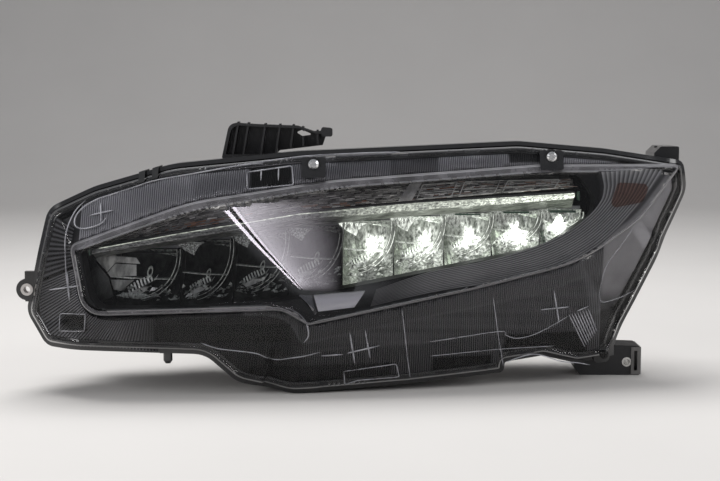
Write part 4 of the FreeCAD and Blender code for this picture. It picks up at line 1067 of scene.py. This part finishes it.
def add_walls(shape, c, number):
    """The roof behind the brow, and the side walls."""
    x = np.array([c["x0"] + 0.4, c["x1"] - 0.4])
    ys = np.linspace(c["front"] + 1, c["vertex"], 8)[:, None]
    roof = np.stack([x[None] + 0 * ys, ys + 0 * x[None], np.full((8, 2), c["axis"] + 1.0)], -1)
    shape.grid(roof, 0, glow=glow(roof, number) * 0.4 + (0.12 if number >= LIT_FROM else 0))
    for side in (c["x0"] + 0.5, c["x1"] - 0.5):
        zs = np.linspace(c["bottom"], c["axis"], 10)[:, None]
        start = bowl_y(c, side, zs)
        t = np.linspace(0, 1, 6)[None, :]
        wall_y = c["front"] + 6 + (np.maximum(start - 1.5, c["front"] + 7) - c["front"] - 6) * t
        p = np.stack([np.full_like(wall_y, side), wall_y, zs + 0 * t], -1)
        shape.grid(p, 0, glow=glow(p, number) * 0.5)


def add_patch(shape, c, number):
    """The knurled, tapering patch in the cell's top inboard corner."""
    rows, columns = 13, 31
    v = np.linspace(0, 1, rows)[:, None]
    u = np.linspace(0, 1, columns)[None, :]
    left, right = c["x0"] - 4 + 15 * v ** 1.6, c["x0"] + 26 - 12 * v ** 0.5
    x = left + (right - left) * u
    z = c["axis"] + 3.5 - 13 * v - 1.5 * u + 0 * x
    knurl = 0.5 * ((np.arange(columns)[None, :] + np.arange(rows)[:, None]) % 2)
    p = np.stack([x, c["front"] + 2.5 + 3 * v - knurl, z], -1)
    lit = number >= LIT_FROM
    base = (0.5, 0.42, 0.16, 0.10, 0.10)[number - LIT_FROM] if lit else 0.0
    shape.grid(p, 4, glow=(glow(p, number) * 0.3 + base) * (0.4 + 1.3 * (knurl > 0.1)))


def add_inboard_prism(shape, c):
    """The large facets that fill the first cell's inboard corner, and the dark prism beside them."""
    front = c["front"]
    plates = [([(-264, 132), (-254, 136), (-223, 133), (-219, 127), (-244, 128), (-252, 119)], 3, 2.0),
              ([(-252, 118), (-244, 127), (-223, 126), (-223, 115), (-249, 114)], 3, 0.5),
              ([(-249, 113.6), (-247, 114.4), (-223, 113.2), (-226, 111.6)], 1, 0.0),
              ([(-249, 111), (-226, 110.5), (-238, 100), (-246, 101)], 3, 1.2),
              ([(-244, 95), (-232, 92.5), (-218, 91), (-208, 94), (-216, 97), (-234, 98)], 2, 0.8),
              ([(-274, 113), (-262, 126), (-251, 113), (-246, 94), (-263, 87), (-273, 102)], 0, 3.0)]
    for points, index, bulge in plates:
        points = np.array(points, float)
        middle = points.mean(0)
        ring = lifted(points, front + 3 + 0.08 * (points[:, 1] - middle[1]))
        shape.add(np.vstack([ring, [[middle[0], front + 3 - bulge, middle[1]]]]),
                  [(i, (i + 1) % len(points), len(points)) for i in range(len(points))], index, glow=0.0)


def make_cell(number, c):
    """One reflector: bowl, fins, stepped shoe, mid shelf, brow, walls and foot facets. In a lit cell every
    piece carries painted light as glow; in an unlit cell its bright and dark finishes are painted
    reflections.
    """
    shape = Shape()
    rng = np.random.default_rng(40 + number)
    lit = number >= LIT_FROM
    add_bowl(shape, c, number)
    add_fin(shape, c, number, 1)
    add_shoe(shape, c, number, 1)
    add_rail(shape, c, number, 1)
    add_shards(shape, c, number, rng)
    add_brow(shape, c, number)
    add_walls(shape, c, number)
    if number:
        add_patch(shape, c, number)
    if number == 0:
        add_inboard_prism(shape, c)
    kind = "dipped" if lit else "main"
    looks = [CELL_LIT] * 5 if lit else [CELL_DARK, CELL_BRIGHT, CELL_SHARD, CELL_PLATE, CELL_KNURL]
    shape.make(f"{kind}_cell_{number + 1}", looks, slot="bright_reflector", body="aim_carrier",
               replaces=[f"{kind}_reflector_{number + 1}"])


# ---------------------------------------------------------------- light guide and turn signal
def make_guide():
    """The daytime light guide: a clear bar with prism teeth, lit along its outboard part."""
    shape = Shape()
    x = np.arange(-261.5, 218.6, 1.3)
    low = np.interp(x, *np.array(GUIDE_LOW).T)
    high = np.interp(x, *np.array(GUIDE_HIGH).T)
    tooth = 0.9 * ((np.arange(len(x)) % 4) / 3)
    rings = []
    for share, dy in ((0, 33), (0, 21.5), (0.2, 20.2), (0.5, 20.6), (0.52, 21.2), (0.8, 20.2), (1, 21.5),
                      (1, 33)):
        z = low + (high - low) * share
        y = face_y(x, z) + dy + (tooth if dy < 30 else 0)
        rings.append(np.stack([x, y, z], -1))
    p = np.array(rings)
    lit = ramp(p[..., 0], -45, 30)
    rng = np.random.default_rng(7)
    sparkle = rng.uniform(0.4, 1.7, (len(rings), len(x)))
    strength = lit * (0.34 + 0.42 * ramp(p[..., 0], 60, 200)) * sparkle
    shape.grid(p, 0, wrap_rows=True, glow=strength)
    top = np.stack([x, high - 0.2], 1)
    bead(shape, top[4:-2], 0.45, lambda x, z: face_y(x, z) + 20.4, 0, glow=0.34)
    shape.make("light_guide_bar", [GUIDE_CLEAR], slot="clear_plastic", replaces=["light_guide"])
    # Painted light: the shelf under the guide glows faintly where the guide above it is lit.
    shelf = Shape()
    foot = np.array([cell_top(at) for at in x]) + 0.5
    rows = np.array([lifted(np.stack([x, low - 0.5 + (foot - low) * t], 1), face_y(x, low) + 27 + 14 * t)
                     for t in (0, 0.3, 0.65, 1)])
    shelf.grid(rows, 0, glow=0.11 * ramp(rows[..., 0], -40, 60))
    shelf.make("guide_shelf", [GUIDE_SHELF], slot="grey_trim")


def make_turn_lens():
    """The turn signal's inner lens: rows of small facets, each with its own tilt, a painted glint as its
    brightness, and a hint of amber.
    """
    shape = Shape()
    rng = np.random.default_rng(11)
    backing = np.arange(-254, 219, 4.0)
    low = np.interp(backing, *np.array(TURN_LOW).T) + 0.3
    high = np.maximum(np.interp(backing, *np.array(TURN_HIGH).T) - 0.3, low + 0.05)
    rows = np.stack([low + (high - low) * t for t in np.linspace(0, 1, 7)])
    x = backing[None] + 0 * rows
    shape.grid(np.stack([x, face_y(x, rows) + 32, rows], -1), 0, grey=0.06, amber=0.0)
    row_count = 15
    for row in range(row_count):
        x = -252.0 + rng.uniform(0, 4)
        while x < 214:
            long = rng.uniform(3.0, 12.0)
            ends = np.array([x, x + long - 0.3])
            low = np.interp(ends, *np.array(TURN_LOW).T) + 0.6
            high = np.interp(ends, *np.array(TURN_HIGH).T) - 0.6
            step = (high - low) / row_count
            foot = low + step * (row + 0.06)
            head = low + step * (row + rng.uniform(0.5, 0.96))
            amber_place = math.exp(-((x + 160) / 34) ** 2) * (row < 5) + 0.42 * (x > -60) * (row < 4) \
                + 0.30 * (x > 60) * (row > 6)
            amber = float(rng.random() < 0.5 * amber_place) * rng.uniform(0.4, 0.9)
            # Painted glints: each facet's brightness is random, lighter outboard, and about one in eight is
            # painted bright.
            pale = 0.24 + 0.06 * ramp(x, -120, 20) + 0.14 * ramp(x, 20, 120)
            shade = pale * rng.uniform(0.1, 2.2) + 0.6 * (rng.random() < 0.12)
            corners = np.array([(ends[0], foot[0]), (ends[1], foot[1]), (ends[1], head[1]),
                                (ends[0], head[0])])
            y = face_y(corners[:, 0], corners[:, 1]) + 30.2 + rng.uniform(-0.7, 0.7, 4)
            if step.min() > 0.1:
                shape.add(lifted(corners, y), [(0, 1, 2, 3)], 0, grey=shade, amber=amber)
            x += long
    shape.make("turn_signal_lens", [TURN_LENS], slot="clear_plastic", replaces=["turn_inner_lens"], flat=True)


def make_turn_frames():
    """The ribs that divide the outboard part of the turn signal into slanted windows."""
    shape = Shape()

    def frame(x0, x1, radius=0.55):
        low = lambda x: np.interp(x, *np.array(TURN_LOW).T) + 1.6
        high = lambda x: np.interp(x, *np.array(TURN_HIGH).T) - 1.2
        lean = 5.0
        loop = [(x0 - lean, low(x0)), (x0 + 1, high(x0)), (x1 + 1, high(x1)), (x1 - lean, low(x1))]
        loop.append(loop[0])
        bead(shape, resample(np.array(loop, float), 2.0), radius, lambda x, z: face_y(x, z) + 28.8, 0)
        share = 0.42
        mid = [(x0 - lean * 0.5, low(x0) + share * (high(x0) - low(x0))),
               (x1 - lean * 0.5, low(x1) + share * (high(x1) - low(x1)))]
        bead(shape, resample(np.array(mid, float), 2.0), radius * 0.8, lambda x, z: face_y(x, z) + 28.8, 0)

    for x0, x1 in ((62, 97), (105, 141), (149, 203)):
        frame(x0, x1)
    a = np.array([(38, 188.5), (50, 206)], float)
    b = np.array([(52, 189.5), (62, 206.5)], float)
    t = np.linspace(0, 1, 25)[:, None, None]
    s = np.linspace(0, 1, 17)[None, :, None]
    flat = (a[0] * (1 - t) + a[1] * t) * (1 - s) + (b[0] * (1 - t) + b[1] * t) * s
    knurl = 0.5 * ((np.arange(25)[:, None] + np.arange(17)[None, :]) % 2)
    y = face_y(flat[..., 0], flat[..., 1]) + 28.6 - knurl
    shape.grid(np.stack([flat[..., 0], y, flat[..., 1]], -1), 0)
    shape.make("turn_signal_ribs", [RIB_CLEAR], slot="clear_plastic")


make_lens()
make_border()
make_flutes()
make_lens_lines()
make_trim()
make_trim_ridges()
make_blade()
for index, cell in enumerate(cells()):
    make_cell(index, cell)
make_guide()
make_turn_lens()
make_turn_frames()


# ---------------------------------------------------------------- camera, floor and light
camera_data = bpy.data.cameras.new("camera")
camera_data.lens = 70
camera_data.sensor_width = 36
camera = bpy.data.objects.new("camera", camera_data)
camera.location = (0.0007, -1.4356, 0.2960)
camera.rotation_euler = (math.radians(84), 0, 0)
bpy.context.scene.collection.objects.link(camera)
bpy.context.scene.camera = camera


def plain(name, colour, rough):
    material, node, out = graph(name)
    tint = mix_colours(node, spread(node, noise(node, 300, 3), 0, 1), tuple(c * 0.97 for c in colour), colour)
    shader = node("BsdfPrincipled", {"Base Color": tint, "Roughness": rough})
    material.node_tree.links.new(shader.outputs[0], out.inputs[0])
    return material


def floor():
    """A pale floor that runs up into a wall far behind the lamp."""
    profile = [(-6.0, 0.0), (2.2, 0.0)]
    profile += [(2.2 + 1.2 * math.sin(a), 1.2 - 1.2 * math.cos(a)) for a in np.linspace(0.1, math.pi / 2, 16)]
    profile += [(3.4, 6.0)]
    verts = [(x, y, z) for y, z in profile for x in (-8, 8)]
    faces = [(2 * i, 2 * i + 1, 2 * i + 3, 2 * i + 2) for i in range(len(profile) - 1)]
    mesh = bpy.data.meshes.new("floor")
    mesh.from_pydata(verts, [], faces)
    mesh.polygons.foreach_set("use_smooth", [True] * len(faces))
    made = bpy.data.objects.new("floor", mesh)
    made.data.materials.append(plain("pale_floor", (0.66, 0.64, 0.62), 0.8))
    bpy.context.scene.collection.objects.link(made)
    made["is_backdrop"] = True


floor()


PANEL_STRENGTH = 4.2
PANEL_Y = -2500.0       # how far in front of the lamp the panel stands


def soft_panel():
    """A studio panel in front of the lamp, seen only as the milky reflection across the raised face."""
    edge = smooth([(-118, 1412), (-69, 1265), (11, 1098), (116, 896), (228, 699), (316, 543)], 20)
    far = smooth([(850, 1430), (800, 1250), (720, 1030), (640, 820), (590, 650), (560, 520)], 20)
    rows = 40
    edge, far = resample_to(edge, rows), resample_to(far, rows)
    stripes = [0, 0.004, 0.030, 0.034, 0.058, 0.062, 0.080, 0.084, 0.10, 0.12]
    t = np.concatenate([stripes, np.linspace(0.14, 1, 20)])
    flat = edge[:, None] * (1 - t[None, :, None]) + far[:, None] * t[None, :, None]
    verts = (lifted(flat, np.full(flat.shape[:-1], PANEL_Y)).reshape(-1, 3) + SHIFT) * MM
    wide = len(t)
    faces = [(i * wide + j, i * wide + j + 1, i * wide + j + wide + 1, i * wide + j + wide)
             for i in range(rows - 1) for j in range(wide - 1)]
    mesh = bpy.data.meshes.new("soft_panel")
    mesh.from_pydata(verts.tolist(), [], faces)
    edges = np.array([0, 2.0, 2.0, 0.0, 0.0, 1.8, 1.8, 0.8, 1.0, 1.1])
    fade = np.concatenate([edges, np.ones(20)]) * (1 - 0.55 * ramp(t, 0.05, 0.36)) * (1 - ramp(t, 0.34, 0.8))
    ends = ramp(np.arange(rows), 0, 2) * ramp(-np.arange(rows), -rows, -rows + 4)
    values = (ends[:, None] * fade[None, :]).ravel()
    mesh.attributes.new("glow", "FLOAT", "POINT").data.foreach_set("value", values.astype(np.float32))
    material, node, out = graph("soft_panel_light")
    glow = node("Attribute", attribute_name="glow").outputs["Fac"]
    power = node("Math", {0: glow, 1: PANEL_STRENGTH}, operation="MULTIPLY")
    light = node("Emission", {"Color": (0.93, 0.88, 0.97, 1), "Strength": power.outputs[0]})
    material.node_tree.links.new(light.outputs[0], out.inputs[0])
    mesh.materials.append(material)
    made = bpy.data.objects.new("soft_panel", mesh)
    made.visible_camera = made.visible_diffuse = made.visible_shadow = False
    bpy.context.scene.collection.objects.link(made)
    made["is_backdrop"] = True


def area_light(name, at, target, size, power, colour=(1, 1, 1)):
    data = bpy.data.lights.new(name, "AREA")
    data.shape = "RECTANGLE"
    data.size, data.size_y = size
    data.energy = power
    data.color = colour
    made = bpy.data.objects.new(name, data)
    made.location = at
    made.rotation_euler = (Vector(target) - Vector(at)).to_track_quat("-Z", "Y").to_euler()
    bpy.context.scene.collection.objects.link(made)
    return made


soft_panel()
area_light("top_light", (-0.3, 0.35, 1.9), (0, 0.0, 0.1), (1.8, 1.0), 40).visible_glossy = False
area_light("rim_light", (0.2, 0.9, 2.2), (0, 0.0, 0.1), (2.4, 0.3), 3)
area_light("left_light", (-1.7, -1.3, 0.9), (-0.2, 0, 0.1), (0.7, 0.9), 16)
area_light("right_light", (1.7, -0.7, 1.0), (0.25, 0, 0.1), (0.7, 1.1), 12)

world = bpy.data.worlds.new("world")
world.use_nodes = True
world.node_tree.nodes["Background"].inputs[0].default_value = (0.86, 0.88, 0.93, 1)
world.node_tree.nodes["Background"].inputs[1].default_value = 0.30
bpy.context.scene.world = world
bpy.context.scene.view_settings.view_transform = "Standard"

low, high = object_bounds()
{"cad": [list(cad_low), list(cad_high)], "visual": [list(low), list(high)]}
